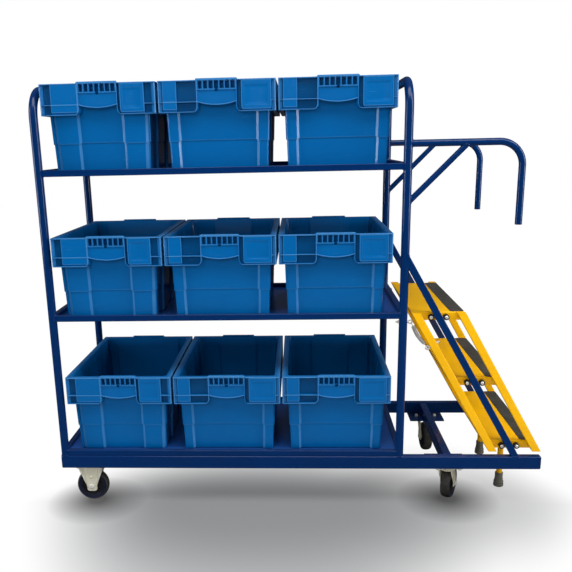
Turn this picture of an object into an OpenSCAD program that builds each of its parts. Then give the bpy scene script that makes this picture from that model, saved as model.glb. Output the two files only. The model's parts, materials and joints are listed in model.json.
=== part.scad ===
// Picking trolley: a wheeled three-shelf rack for stacking bins, with grab
// handles and a spring-held step unit that slides down inclined guide rails
// until its rubber feet stand on the floor. Front is -Y, the steps are at +X.

/* [Base frame] */
// Length of the two base rails
base_len = 1821; // [1800:1:1860]
// Height of a base rail
rail_h = 50; // [45:1:55]
// Width of a base rail
rail_w = 30; // [28:1:34]
// Wall of the base rail tube
rail_t = 3; // [2.5:0.1:4]
// Height of the base rails' underside over the floor
rail_z = 150; // [148:1:156]
// Closing cap on each rail end
end_plate_t = 6; // [4:0.5:8]
// Distance of the end hoops from the rail ends
end_over = 15; // [15:1:20]
// Cross tube near the swivel castors, from the left hoop
cross_x = 1465; // [1450:1:1480]

/* [Hoops and shelves] */
// Distance between the two end hoops
hoop_pitch = 1282; // [1276:1:1300]
// Distance of the posts' axes inside the bins' ends
post_in = 7; // [0:0.5:8]
// Outer diameter of the hoop tube
post_d = 30; // [26:0.5:32]
// Wall of the round tubes
tube_t = 2; // [1.5:0.1:2.5]
// Height of the hoop tube's axis at the top
hoop_top = 1548; // [1520:1:1552]
// Bend radius of the hoops
hoop_r = 95; // [80:1:110]
// Side of the square shelf tube
bar = 22; // [20:1:24]
// Wall of the square shelf tube
bar_t = 1.5; // [1.2:0.1:2]
// Top of the middle shelf's bars
mid_z = 755; // [740:1:770]
// Top of the upper shelf's bars
top_z = 1277; // [1265:1:1290]
// Deck sheet thickness
deck_t = 2; // [1.5:0.5:3]
// Depth of the two upper decks below their bars
deck_sink = 14; // [12:0.5:18]
// Depth of the lowest deck below its bars
deck_sink_low = 5; // [2:0.5:6]

/* [Grab handles] */
// Diameter of the handle tube
handle_d = 24; // [22:0.5:26]
// Height of the handle's level part
handle_z = 1341; // [1335:1:1350]
// Reach of the handles from the right posts
handle_reach = 383; // [370:1:400]
// Bend radius of the handles
handle_r = 80; // [70:1:90]
// Height of the handles' free ends
handle_end = 1064; // [1040:1:1100]
// Diameter of the braces
brace_d = 20; // [18:0.5:22]
// Height of the braces' foot on the posts
brace_z = 1139; // [1130:1:1160]

/* [Step unit] */
// Slope of the guide rails in degrees
incline = 60.6; // [60:0.1:61.2]
// Foot of the guide rails from the right posts
guide_foot = 428; // [424:1:432]
// Side of the square guide rail
guide = 25; // [24:0.5:26]
// Top of the upper tread
tread_z = 752; // [748:1:756]
// Height between treads
tread_rise = 248.5; // [246:0.5:249]
// Tread edge behind the guide rail's axis
tread_back = 88; // [86:1:92]
// Tread edge in front of the guide rail's axis
tread_front = 104; // [102:1:106]
// Tread sheet thickness
tread_t = 3; // [2:0.5:4]
// Depth of the treads' turned-down edges
tread_skirt = 30; // [28:1:34]
// Room between a tread's end and the guide rail
tread_room = 2.5; // [2:0.5:4]
// Width of the grit strip on a tread
pad_w = 50; // [40:1:60]
// Thickness of the grit strip
pad_t = 1.2; // [0.8:0.1:2]
// Side of the stringer tube
stringer = 27; // [24:0.5:28]
// Height of the stringers' lower ends
stringer_end = 221; // [216:1:226]
// Diameter of the guide bushes
bush_d = 21; // [19:0.1:23]
// Room between a bush and the guide rail
bush_room = 0.4; // [0.3:0.1:0.8]
// Height of the bushes below a tread's top
bush_drop = 17; // [16:0.5:19]
// Length of a guide bush
bush_l = 17; // [14:0.5:18]
// Diameter of the step legs
leg_d = 22; // [20:0.5:24]
// Distance of the legs from the posts' plane
leg_in = 137; // [120:1:160]
// Legs forward of the guide rail's axis at the lowest tread
leg_fwd = 19; // [10:1:30]
// Height of the rubber feet over the floor at rest
foot_gap = 10; // [10:0.5:13]
// Height of a rubber foot
foot_h = 58; // [50:1:64]
// Radius of a rubber foot's sole
foot_r = 19.5; // [17:0.5:22]
// Depth of the leg in its rubber foot, from the sole
foot_floor = 8; // [6:0.5:10]

/* [Springs] */
// Height of the upper eye bolts
eye_z = 720; // [718:1:726]
// Height of the lower eye bolts at the stringer's axis
hook_z = 634; // [628:1:640]
// Ring radius of an eye bolt, to the middle of its wire
eye_r = 6.5; // [6:0.1:7]
// Wire radius of an eye bolt
eye_wire = 2.5; // [2:0.1:3]
// Shank diameter of the eye bolts
eye_d = 6; // [5:0.5:6]
// Mean radius of the spring's curls
coil_r = 6.2; // [5.5:0.1:7]
// Wire diameter of the spring
coil_wire = 2.2; // [1.8:0.1:2.4]
// Number of curls
curls = 24; // [20:1:25]
// Sideways bow of the slack spring
coil_bow = 5; // [2:0.5:7]

/* [Castors] */
// Wheel diameter
wheel_d = 125; // [122:1:126]
// Wheel width
wheel_w = 36; // [32:1:40]
// Diameter under the tyre
tyre_in = 94; // [88:1:100]
// Axle diameter
axle_d = 12; // [10:0.5:12]
// Running room round an axle
axle_room = 0.05; // [0.03:0.01:0.08]
// Length of a castor top plate
plate_l = 105; // [102:1:110]
// Width of a castor top plate
plate_w = 85; // [82:1:90]
// Thickness of a castor top plate
plate_t = 4; // [3.5:0.5:5]
// Bolt spacing along the plate
bolt_l = 80; // [76:1:82]
// Bolt spacing across the plate
bolt_w = 66; // [64:1:68]
// Fixed castors from the left hoop
castor_left = 90; // [85:1:100]
// Swivel castors past the cross tube
castor_right = 5; // [0:1:10]
// Offset of a swivel wheel from its turning axis
trail = 36; // [32:1:40]
// Rest direction of the front swivel castor in degrees
turn_front = 64; // [0:1:180]
// Rest direction of the rear swivel castor in degrees
turn_rear = -86; // [-180:1:180]
// Diameter of the swivel race and the fork's crown
race_d = 62; // [56:1:66]
// Half width of a fixed bracket's cheek at the axle
cheek_end = 19.4; // [17:0.2:22]
// Mounting plate welded to the rail
mount_t = 6; // [5:0.5:8]
// Reach of a mounting plate inside the rail
mount_in = 100; // [95:1:110]

/* [Bins] */
// Bin width over the rim
bin_w = 400; // [396:1:402]
// Bin depth over the rim
bin_d = 600; // [590:1:604]
// Bin height
bin_h = 300; // [290:1:310]
// Room between neighbouring bins
bin_gap = 7.5; // [5:0.5:10]
// First bin from the left hoop
bin_start = 27; // [22:0.5:30]
// Height of the rim band
band_h = 104; // [98:1:110]
// Wall of a bin
bin_t = 3; // [2.5:0.1:3.5]
// Room between the rim band and the tub's neck at the sides
rim_room_w = 18; // [16:0.5:20]
// Room between the rim band and the tub's neck at the ends
rim_room_d = 22; // [20:0.5:24]
// Lean of a tub's side wall from its neck to its floor
lean_w = 9; // [7:0.5:12]
// Lean of a tub's end wall from its neck to its floor
lean_d = 11; // [10:0.5:14]
// Depth of the panels between the pillars
pillar_t = 6; // [4:0.5:8]
// Height of the ledge round the tub
ledge_z = 100; // [90:1:110]
// Set-back of the tub below the ledge
ledge_in = 2; // [1:0.5:3]
// Width of the hand grip
grip_w = 136; // [120:1:140]
// Depth of the grip's curved lip below the rim, at its ends
lip_end = 69; // [64:1:72]
// Depth of the grip's curved lip below the rim, at its middle
lip_mid = 79; // [74:1:84]
// Height of the grip frame above the rim
grip_rise = 5; // [3:0.5:6]
// Width of a slot in the grip's grille
slot_w = 15; // [12:0.5:16]
// Height of a slot in the grip's grille
slot_h = 25; // [20:1:28]

/* [Hidden] */
$fn = 48;

navy = [0.02, 0.13, 0.34];
zinc = [0.72, 0.72, 0.68];
yellow = [0.95, 0.69, 0.02];
black = [0.08, 0.08, 0.09];
bin_blue = [0.05, 0.38, 0.66];

post_pitch = bin_d - 2 * post_in;
xl = -base_len / 2 + end_over;
xr = xl + hoop_pitch;
yf = -post_pitch / 2;
yr = post_pitch / 2;
rail_top = rail_z + rail_h;
low_z = rail_top + bar;
post_r = post_d / 2;
far = 3000;
in_x = (xl + xr) / 2;

// guide rail axis: x at a height, and horizontal reach of a sloped width
guide_x0 = xr + guide_foot;
function guide_x(z) = guide_x0 - (z - rail_top) / tan(incline);
function across(w) = w / sin(incline);
upright = [sin(incline), 0, cos(incline)];
tread_y = post_pitch / 2 - guide / 2 - tread_room;
tread_zs = [tread_z, tread_z - tread_rise, tread_z - 2 * tread_rise];
stringer_y = tread_y + stringer / 2;
back_x = -tread_back + across(stringer) / 2;
front_x = tread_front - across(stringer) / 2;
bush_x = across(guide / 2 + bush_room + bush_d / 2);
bush_hole = 8.4;
bolt_d = 8;
leg_x = guide_x(tread_zs[2]) + leg_fwd;
leg_y = post_pitch / 2 - leg_in;

// spring eyes
eye_out = eye_r + eye_wire;
eye_neck = 1.5;
eye_a = [xr + post_r + eye_out + eye_neck, eye_z];
hook_axis = [guide_x(hook_z) + back_x, hook_z];
hook_reach = stringer / 2 + eye_out + eye_neck;
eye_b = hook_axis - hook_reach * [upright[0], upright[2]];
spring_len = norm(eye_b - eye_a) - 2 * eye_out;
spring_dir = (eye_b - eye_a) / norm(eye_b - eye_a);
spring_start = eye_a + eye_out * spring_dir;

// castor places
wheel_r = wheel_d / 2;
castor_y = post_pitch / 2 - bolt_w / 2;
fixed_x = xl + castor_left;
swivel_x = xl + cross_x + castor_right;
crown_z = wheel_d + 6;
crown_t = 6.5;
race_z = crown_z + crown_t + 0.4;
plate_z = rail_z - plate_t;
cheek_y = wheel_w / 2 + 3;
cheek_t = 3.5;
kingpin_d = 12;
kingpin_head = 2 * kingpin_d;
head_h = 5;
cheek_top = plate_l / 2 - 4.5;

// bin places: forward shift of each row and sideways shift of each row
deck_tops = [low_z - deck_sink_low, mid_z - deck_sink, top_z - deck_sink];
row_fwd = [9, 13, 1];
row_side = [2, -4, 2];
neck_w = bin_w - 2 * rim_room_w;
neck_d = bin_d - 2 * rim_room_d;
base_w = neck_w - 2 * lean_w;
base_d = neck_d - 2 * lean_d;
front_pillar = 0.28 * bin_w;
pillar_half = 0.105 * bin_w;
corner_pillar = 0.3375 * bin_w;
side_pillars = [-11 / 60 * bin_d, 9 / 60 * bin_d];
side_half = 0.075 * bin_d;
function bin_x(c, r) = xl + bin_start + row_side[r] + bin_w / 2 + c * (bin_w + bin_gap);

// Plain shapes

module rounded(w, h, r) {
  square([w - 2 * r, h], center = true);
  square([w, h - 2 * r], center = true);
  for (x = [-1, 1], y = [-1, 1])
    translate([x * (w / 2 - r), y * (h / 2 - r)]) circle(r);
}

module ring(w, h, t, r) {
  difference() {
    rounded(w, h, r);
    rounded(w - 2 * t, h - 2 * t, max(r - t, 0.6));
  }
}

module box_tube_x(len, w, h, t, r) {
  rotate([90, 0, 90]) linear_extrude(height = len, center = true) ring(w, h, t, r);
}

module box_tube_y(len, w, h, t, r) {
  rotate([90, 0, 0]) linear_extrude(height = len, center = true) ring(w, h, t, r);
}

module pipe(len, d, t) {
  difference() {
    cylinder(d = d, h = len);
    translate([0, 0, -1]) cylinder(d = d - 2 * t, h = len + 2);
  }
}

module bend(r, d, t) {
  rotate_extrude(angle = 90) translate([r, 0]) difference() {
    circle(d = d);
    circle(d = d - 2 * t);
  }
}

module hex(af, h) {
  cylinder(d = af / cos(30), h = h, $fn = 6);
}

module posts(d) {
  for (x = [xl, xr], y = [yf, yr])
    translate([x, y, 0]) cylinder(d = d, h = far);
}

// Base frame

module base_rails() color(navy)
  for (y = [yf, yr]) difference() {
    translate([0, y, rail_z + rail_h / 2])
      box_tube_x(base_len - 2 * end_plate_t, rail_w, rail_h, rail_t, 4);
    castor_holes();
  }

module base_cross_tubes() color(navy)
  for (x = [xl, xl + cross_x])
    translate([x, 0, rail_z + rail_h / 2])
      box_tube_y(post_pitch - rail_w, rail_w, rail_h, rail_t, 4);

module rail_end_plates() color(navy)
  for (x = [-1, 1], y = [yf, yr])
    translate([x * (base_len - end_plate_t) / 2, y, rail_z + rail_h / 2])
      rotate([90, 0, 90]) linear_extrude(height = end_plate_t, center = true)
        rounded(rail_w, rail_h, 4);

module castor_holes() {
  for (x = [fixed_x, swivel_x], s = [-1, 1], i = [-1, 1], j = [-1, 1])
    translate([x + i * bolt_l / 2, s * castor_y + j * bolt_w / 2, plate_z - plate_t])
      cylinder(d = bush_hole, h = 3 * plate_t + mount_t);
}

module castor_mounts() color(navy)
  difference() {
    for (x = [fixed_x, swivel_x], s = [-1, 1])
      translate([x - 0.7 * plate_l, s > 0 ? yr - rail_w / 2 - mount_in : yf + rail_w / 2, rail_z])
        cube([1.4 * plate_l, mount_in, mount_t]);
    castor_holes();
    translate([xl + cross_x - rail_w / 2, -far / 2, rail_z]) cube([rail_w, far, rail_h]);
  }

// End hoops

module hoop(x) {
  straight = hoop_top - hoop_r - rail_top;
  for (y = [yf, yr]) translate([x, y, rail_top]) pipe(straight, post_d, tube_t);
  translate([x, yr - hoop_r, hoop_top - hoop_r])
    rotate([90, 0, 90]) bend(hoop_r, post_d, tube_t);
  translate([x, yf + hoop_r, hoop_top - hoop_r])
    rotate([90, 0, 90]) rotate([0, 0, 90]) bend(hoop_r, post_d, tube_t);
  translate([x, yf + hoop_r, hoop_top])
    rotate([-90, 0, 0]) pipe(post_pitch - 2 * hoop_r, post_d, tube_t);
}

module hoop_left() color(navy) hoop(xl);

module hoop_right() color(navy)
  difference() {
    hoop(xr);
    for (y = [yf, yr]) translate([xr, y, eye_z])
      rotate([0, 90, 0]) cylinder(d = eye_d + 0.4, h = 60, center = true);
  }

// Shelves: four bars coped to the posts, and a sheet between them

module shelf_bars(z) color(navy)
  difference() {
    union() {
      for (y = [yf, yr]) translate([in_x, y, z - bar / 2])
        box_tube_x(hoop_pitch - 2, bar, bar, bar_t, 2);
      for (x = [xl, xr]) translate([x, 0, z - bar / 2])
        box_tube_y(post_pitch - bar - 0.6, bar, bar, bar_t, 2);
    }
    posts(post_d);
  }

module deck(z) color(navy)
  translate([xl + bar / 2, yf + bar / 2, z - deck_t])
    cube([hoop_pitch - bar, post_pitch - bar, deck_t]);

module shelf_bars_bottom() shelf_bars(low_z);
module shelf_bars_middle() shelf_bars(mid_z);
module shelf_bars_top() shelf_bars(top_z);
module deck_bottom() deck(deck_tops[0]);
module deck_middle() deck(deck_tops[1]);
module deck_top() deck(deck_tops[2]);

// Grab handles

module handle(y) color(navy)
  difference() {
    translate([0, y, 0]) {
      translate([xr, 0, handle_z])
        rotate([0, 90, 0]) pipe(handle_reach - handle_r, handle_d, tube_t);
      translate([xr + handle_reach - handle_r, 0, handle_z - handle_r])
        rotate([90, 0, 0]) bend(handle_r, handle_d, tube_t);
      translate([xr + handle_reach, 0, handle_end])
        pipe(handle_z - handle_r - handle_end, handle_d, tube_t);
    }
    posts(post_d);
  }

module handle_front() handle(yf);
module handle_rear() handle(yr);

module handle_braces() color(navy)
  for (y = [yf, yr]) difference() {
    translate([xr, y, brace_z]) rotate([0, 45, 0])
      pipe((handle_z - brace_z) * sqrt(2), brace_d, tube_t);
    posts(post_d);
    translate([xr, y, handle_z]) rotate([0, 90, 0]) cylinder(d = handle_d, h = handle_reach);
  }

module handle_plugs() color(navy)
  for (y = [yf, yr]) translate([xr + handle_reach, y, handle_end]) {
    translate([0, 0, -2]) cylinder(d = handle_d, h = 2);
    cylinder(d = handle_d - 2 * tube_t, h = 12);
  }

// Guide rails of the step unit

module guide_rails() color(navy)
  for (y = [yf, yr]) difference() {
    intersection() {
      translate([guide_x(500), y, 500]) rotate([0, incline, 0])
        box_tube_x(far / 2, guide, guide, 2, 2.5);
      translate([xr, -far / 2, rail_top]) cube([far, far, far]);
    }
    posts(post_d);
  }

// Springs and their eye bolts

module eye_ring() {
  rotate([90, 0, 0]) rotate_extrude() translate([eye_r, 0]) circle(eye_wire);
}

// eye bolt along local +X: ring at the origin, shoulder seated at its face
module eye_bolt(grip) {
  eye_ring();
  translate([eye_r, 0, 0]) rotate([0, 90, 0])
    cylinder(d = eye_d, h = eye_wire + eye_neck + grip + 11);
  translate([eye_r, 0, 0]) rotate([0, 90, 0]) cylinder(d = eye_d + 4, h = eye_wire + eye_neck);
}

module eye_nut() {
  rotate([0, 90, 0]) difference() {
    hex(10, 5);
    translate([0, 0, -1]) cylinder(d = eye_d, h = 8);
  }
}

module eye_bolts() color(zinc)
  for (y = [yf, yr]) translate([eye_a[0], y, eye_a[1]]) rotate([0, 180, 0]) eye_bolt(post_d);

module eye_nuts() color(zinc)
  for (y = [yf, yr]) translate([xr - post_r - 5, y, eye_z]) eye_nut();

// local X runs square out of the stringers, away from the shelves
module hook_place() {
  for (y = [yf, yr]) translate([hook_axis[0], y, hook_axis[1]])
    rotate([0, incline - 90, 0]) children();
}

module step_eyes() color(zinc)
  hook_place() translate([-hook_reach, 0, 0]) eye_bolt(stringer);

// spring wire: k counts curls along the spring; over the first and last curl
// the radius swells from nothing and the wire runs steeper
lead = 1.5 * coil_wire;
turns = curls + 2;
steep = 4.2;
curl_pitch = (spring_len - 2 * lead) / (curls + steep + 1);
side_dir = [-spring_dir[1], spring_dir[0]];
function swell(c) = c >= 1 ? 1 : c * c * (3 - 2 * c);
function coil_rad(k) = coil_r * min(swell(k), swell(turns - k));
function rise(c) = steep * c - (steep - 1) * c * c / 2;
function along(k) = k < 1 ? rise(k) * curl_pitch
  : k > turns - 1 ? spring_len - 2 * lead - rise(turns - k) * curl_pitch
  : ((steep + 1) / 2 + k - 1) * curl_pitch;
function bow(s) = -coil_bow * pow(sin(180 * s / spring_len), 2);
function wire_axis(s) = spring_start + s * spring_dir + bow(s) * side_dir;
function wire_at(k) =
  let (c = wire_axis(lead + along(k)), r = coil_rad(k), a = 360 * k)
  [c[0] + r * cos(a) * side_dir[0], r * sin(a), c[1] + r * cos(a) * side_dir[1]];
rings = 8 * turns;
tip_a = [spring_start[0], 0, spring_start[1]];
tip_b = tip_a + spring_len * [spring_dir[0], 0, spring_dir[1]];
wire = concat([tip_a], [for (i = [0 : rings]) wire_at(i / 8)], [tip_b]);
count = len(wire);
function unit(v) = v / norm(v);
function tangent(i) = i == 0 || i == count - 1 ? unit(tip_b - tip_a) : unit(wire[i + 1] - wire[i - 1]);
// a ring's first side points out of the curl so that neighbouring rings line up
function out_dir(i) = let (a = 45 * min(max(i - 1, 0), rings))
  [cos(a) * side_dir[0], sin(a), cos(a) * side_dir[1]];
function ring_u(i) = let (t = tangent(i), o = out_dir(i)) unit(o - (o * t) * t);
wire_points = [for (i = [0 : count - 1], j = [0 : 5])
  let (u = ring_u(i), v = cross(tangent(i), u))
  wire[i] + coil_wire / 2 * (cos(60 * j) * u + sin(60 * j) * v)];
wire_faces = concat(
  [[0, 1, 2, 3, 4, 5]],
  [for (i = [0 : count - 2], j = [0 : 5]) [6 * i + j, 6 * (i + 1) + j, 6 * (i + 1) + (j + 1) % 6]],
  [for (i = [0 : count - 2], j = [0 : 5]) [6 * i + j, 6 * (i + 1) + (j + 1) % 6, 6 * i + (j + 1) % 6]],
  [[for (j = [5 : -1 : 0]) 6 * (count - 1) + j]]);
near = [for (i = [0 : count - 6], k = [i + 5 : min(i + 12, count - 1)]) norm(wire[i] - wire[k])];
echo(spring_gap = min(near) - coil_wire, spring_len = spring_len, curl_pitch = curl_pitch);

module spring_front() color(zinc) translate([0, yf, 0]) polyhedron(wire_points, wire_faces);
module spring_rear() color(zinc) translate([0, yr, 0]) polyhedron(wire_points, wire_faces);

// Step unit

// slab of space between two heights
module slab(z0, z1) {
  translate([-far / 2, -far / 2, z0]) cube([far, far, z1 - z0]);
}

// sloped square tube, closed by a plate at its upper end
module stringer_at(dx, y) {
  intersection() {
    translate([guide_x(480) + dx, y, 480]) rotate([0, incline, 0])
      box_tube_x(900, stringer, stringer, tube_t, stringer / 10);
    slab(stringer_end, tread_z);
  }
  intersection() {
    translate([guide_x(480) + dx, y, 480]) rotate([0, incline + 90, 0])
      linear_extrude(height = 900, center = true) rounded(stringer, stringer, stringer / 10);
    slab(tread_z - tread_t, tread_z);
  }
}

module stringer_pair(y) color(yellow)
  difference() {
    union() {
      stringer_at(back_x, y);
      stringer_at(front_x, y);
    }
    hook_place() rotate([0, 90, 0]) cylinder(d = eye_d + 0.4, h = 2 * stringer, center = true);
  }

module stringers_front() stringer_pair(-stringer_y);
module stringers_rear() stringer_pair(stringer_y);

// side view of a tread: upright in front, its back edge follows the stringers
module tread_side(top, bottom, inset) {
  lean = 1 / tan(incline);
  back = -tread_back + inset;
  front = tread_front - inset;
  polygon([[back - top * lean, top], [front, top], [front, bottom], [back - bottom * lean, bottom]]);
}

module tread(z) color(yellow)
  translate([guide_x(z), 0, z]) difference() {
    rotate([90, 0, 0]) linear_extrude(height = 2 * tread_y, center = true)
      tread_side(0, -tread_skirt, 0);
    rotate([90, 0, 0]) linear_extrude(height = 2 * (tread_y - tread_t), center = true)
      tread_side(-tread_t, -tread_skirt - tread_t, tread_t);
    for (s = [-1, 1]) translate([bush_drop / tan(incline) + s * bush_x, 0, -bush_drop])
      rotate([90, 0, 0]) cylinder(d = bush_hole, h = far, center = true);
  }

module tread_top() tread(tread_zs[0]);
module tread_middle() tread(tread_zs[1]);
module tread_bottom() tread(tread_zs[2]);

module tread_pads() color(black)
  for (z = tread_zs) translate([guide_x(z) + tread_front - pad_w / 2 - 1.5, 0, z])
    linear_extrude(height = pad_t) rounded(pad_w, 2 * tread_y - 10, 12);

module bush_places() {
  for (z = tread_zs, s = [-1, 1], e = [0, 180])
    translate([guide_x(z - bush_drop) + s * bush_x, 0, z - bush_drop])
      rotate([0, 0, e]) translate([0, -tread_y, 0]) rotate([90, 0, 0]) children();
}

module guide_bushes() color(black)
  bush_places() difference() {
    cylinder(d = bush_d, h = bush_l);
    translate([0, 0, -1]) cylinder(d = bolt_d, h = bush_l + 2);
  }

module bush_bolts() color(zinc)
  bush_places() {
    translate([0, 0, bush_l]) hex(13, 5);
    translate([0, 0, -12]) cylinder(d = bolt_d, h = bush_l + 13);
  }

module step_nuts() color(zinc) {
  bush_places() translate([0, 0, -tread_t - 6.5]) difference() {
    hex(13, 6.5);
    translate([0, 0, -1]) cylinder(d = bolt_d, h = 10);
  }
  hook_place() translate([stringer / 2, 0, 0]) eye_nut();
}

module step_legs() color(yellow)
  for (s = [-1, 1]) translate([leg_x, s * leg_y, foot_gap + foot_floor])
    pipe(tread_zs[2] - tread_t - foot_gap - foot_floor, leg_d, tube_t);

module rubber_feet() color(black)
  for (s = [-1, 1]) translate([leg_x, s * leg_y, foot_gap])
    rotate_extrude() difference() {
      scale([foot_r, foot_h]) polygon([[0, 0], [0.95, 0], [1, 0.05], [1, 0.19], [0.92, 0.22],
        [0.92, 0.28], [0.97, 0.31], [0.95, 0.38], [0.87, 0.41], [0.75, 0.69], [0.78, 0.74],
        [0.78, 0.97], [0.73, 1], [0, 1]]);
      translate([-1, foot_floor]) square([1 + leg_d / 2, foot_h]);
    }

// Castors: the wheel's axle runs along local Y

module hub_shape() color(black)
  rotate([90, 0, 0]) rotate_extrude() polygon([
    [axle_d / 2 + axle_room, -wheel_w / 2 - 2], [14, -wheel_w / 2 - 2], [14, -10],
    [tyre_in / 2 - 8, -8], [tyre_in / 2 - 6, -wheel_w / 2 + 3],
    [tyre_in / 2, -wheel_w / 2 + 3], [tyre_in / 2, wheel_w / 2 - 3],
    [tyre_in / 2 - 6, wheel_w / 2 - 3], [tyre_in / 2 - 8, 8], [14, 10],
    [14, wheel_w / 2 + 2], [axle_d / 2 + axle_room, wheel_w / 2 + 2]]);

module tyre_shape() color(black)
  rotate([90, 0, 0]) rotate_extrude() polygon([
    [tyre_in / 2, -wheel_w / 2 + 3], [tyre_in / 2 + 3, -wheel_w / 2],
    [wheel_r - 6, -wheel_w / 2], [wheel_r - 1.5, -wheel_w / 2 + 5],
    [wheel_r, -wheel_w / 2 + 12], [wheel_r, wheel_w / 2 - 12],
    [wheel_r - 1.5, wheel_w / 2 - 5], [wheel_r - 6, wheel_w / 2],
    [tyre_in / 2 + 3, wheel_w / 2], [tyre_in / 2, wheel_w / 2 - 3]]);

module axle_shape() color(zinc) {
  half = cheek_y + cheek_t;
  rotate([90, 0, 0]) cylinder(d = axle_d, h = 2 * half + 6, center = true);
  translate([0, -half, 0]) rotate([90, 0, 0]) hex(19, 6);
  translate([0, half + 6, 0]) rotate([90, 0, 0]) hex(19, 6);
}

module fixed_place(s) {
  translate([fixed_x, s * castor_y, 0]) children();
}

module swivel_place(s) {
  translate([swivel_x, s * castor_y, 0])
    rotate([0, 0, s < 0 ? turn_front : turn_rear]) children();
}

module top_plate() {
  difference() {
    translate([0, 0, plate_z]) linear_extrude(height = plate_t) rounded(plate_l, plate_w, 8);
    for (i = [-1, 1], j = [-1, 1]) translate([i * bolt_l / 2, j * bolt_w / 2, plate_z - 1])
      cylinder(d = bush_hole, h = 10);
  }
}

module fixed_bracket() {
  top_plate();
  for (s = [-1, 1]) translate([0, s * (cheek_y + cheek_t / 2), 0]) rotate([90, 0, 0])
    linear_extrude(height = cheek_t, center = true) difference() {
      union() {
        polygon([[-cheek_top, plate_z], [-cheek_top + plate_t, plate_z - cheek_end], [-cheek_end, wheel_r],
          [cheek_end, wheel_r], [cheek_top - plate_t, plate_z - cheek_end], [cheek_top, plate_z]]);
        translate([0, wheel_r]) rounded(2 * cheek_end, 2 * cheek_end, cheek_end / 3);
      }
      translate([0, wheel_r]) circle(d = axle_d);
    }
}

module fixed_brackets() color(zinc) for (s = [-1, 1]) fixed_place(s) fixed_bracket();
module fixed_axles() for (s = [-1, 1]) fixed_place(s) translate([0, 0, wheel_r]) axle_shape();

module swivel_plates() color(zinc)
  for (s = [-1, 1]) translate([swivel_x, s * castor_y, 0]) difference() {
    union() {
      top_plate();
      translate([0, 0, race_z]) cylinder(d = race_d, h = plate_z - race_z + 1);
    }
    translate([0, 0, race_z - 1]) cylinder(d = kingpin_d, h = far);
  }

module kingpins() color(zinc)
  for (s = [-1, 1]) translate([swivel_x, s * castor_y, 0]) {
    translate([0, 0, crown_z - 0.4 - head_h]) cylinder(d = kingpin_head, h = head_h);
    translate([0, 0, crown_z - head_h / 2]) cylinder(d = kingpin_d, h = rail_z - crown_z + head_h / 2);
  }

module fork_shape() color(zinc) {
  difference() {
    translate([0, 0, crown_z]) cylinder(d = race_d, h = crown_t);
    translate([0, 0, crown_z - 1]) cylinder(d = kingpin_d + 2 * axle_room, h = far);
  }
  for (s = [-1, 1]) translate([0, s * (cheek_y + cheek_t / 2), 0]) rotate([90, 0, 0])
    linear_extrude(height = cheek_t, center = true) difference() {
      union() {
        polygon([[-22, crown_z + crown_t], [22, crown_z + crown_t], [34, crown_z - 12],
          [trail + 18, wheel_r + 4], [trail - 16, wheel_r - 6]]);
        translate([trail, wheel_r]) circle(r = 18.4);
      }
      translate([trail, wheel_r]) circle(d = axle_d);
    }
}

module fork_front() swivel_place(-1) fork_shape();
module fork_rear() swivel_place(1) fork_shape();
module axle_front() swivel_place(-1) translate([trail, 0, wheel_r]) axle_shape();
module axle_rear() swivel_place(1) translate([trail, 0, wheel_r]) axle_shape();

module castor_bolts() color(zinc)
  for (x = [fixed_x, swivel_x], s = [-1, 1], i = [-1, 1], j = [-1, 1])
    translate([x + i * bolt_l / 2, s * castor_y + j * bolt_w / 2, plate_z]) {
      translate([0, 0, -5.3]) hex(13, 5.3);
      cylinder(d = bolt_d, h = plate_t + 16);
    }

module castor_nuts() color(zinc)
  for (x = [fixed_x, swivel_x], s = [-1, 1], i = [-1, 1], j = [-1, 1]) {
    inner = j * s < 0;
    translate([x + i * bolt_l / 2, s * castor_y + j * bolt_w / 2,
      rail_z + (inner ? mount_t : rail_t)]) difference() {
        hex(13, 6.5);
        translate([0, 0, -1]) cylinder(d = bolt_d, h = 9);
      }
  }

module hub_fl() fixed_place(-1) translate([0, 0, wheel_r]) hub_shape();
module hub_rl() fixed_place(1) translate([0, 0, wheel_r]) hub_shape();
module hub_fr() swivel_place(-1) translate([trail, 0, wheel_r]) hub_shape();
module hub_rr() swivel_place(1) translate([trail, 0, wheel_r]) hub_shape();
module tyre_fl() fixed_place(-1) translate([0, 0, wheel_r]) tyre_shape();
module tyre_rl() fixed_place(1) translate([0, 0, wheel_r]) tyre_shape();
module tyre_fr() swivel_place(-1) translate([trail, 0, wheel_r]) tyre_shape();
module tyre_rr() swivel_place(1) translate([trail, 0, wheel_r]) tyre_shape();

// Bins: a drafted tub with pillars, hung in a rim band

function neck(z) = z / bin_h;
function tub_w(z) = base_w + (neck_w - base_w) * neck(z);
function tub_d(z) = base_d + (neck_d - base_d) * neck(z);

// drafted block between two heights, drawn in by an inset on every side
module drafted(z0, z1, inset) {
  intersection() {
    rotate([90, 0, 0]) linear_extrude(height = far, center = true)
      polygon([[-tub_w(z0) / 2 + inset, z0], [tub_w(z0) / 2 - inset, z0],
        [tub_w(z1) / 2 - inset, z1], [-tub_w(z1) / 2 + inset, z1]]);
    rotate([90, 0, 90]) linear_extrude(height = far, center = true)
      polygon([[-tub_d(z0) / 2 + inset, z0], [tub_d(z0) / 2 - inset, z0],
        [tub_d(z1) / 2 - inset, z1], [-tub_d(z1) / 2 + inset, z1]]);
  }
}

// tub with the ledge: below it the walls stand further in
module stepped(z0, z1, inset, ledge) {
  drafted(z0, ledge, inset + ledge_in);
  drafted(ledge, z1, inset);
}

// pillar boxes: front pillars stand inboard, rear pillars at the corners
module pillar_boxes(inset) {
  for (s = [-1, 1]) {
    translate([s * front_pillar - pillar_half + inset, -bin_d, -1])
      cube([2 * (pillar_half - inset), bin_d, far]);
    translate([s > 0 ? corner_pillar + inset : -bin_w + inset, 0, -1])
      cube([bin_w - corner_pillar - 2 * inset, bin_d, far]);
    for (y = side_pillars)
      translate([s > 0 ? 0 : -bin_w, y - side_half + inset, -1])
        cube([bin_w, 2 * (side_half - inset), far]);
  }
}

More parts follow.
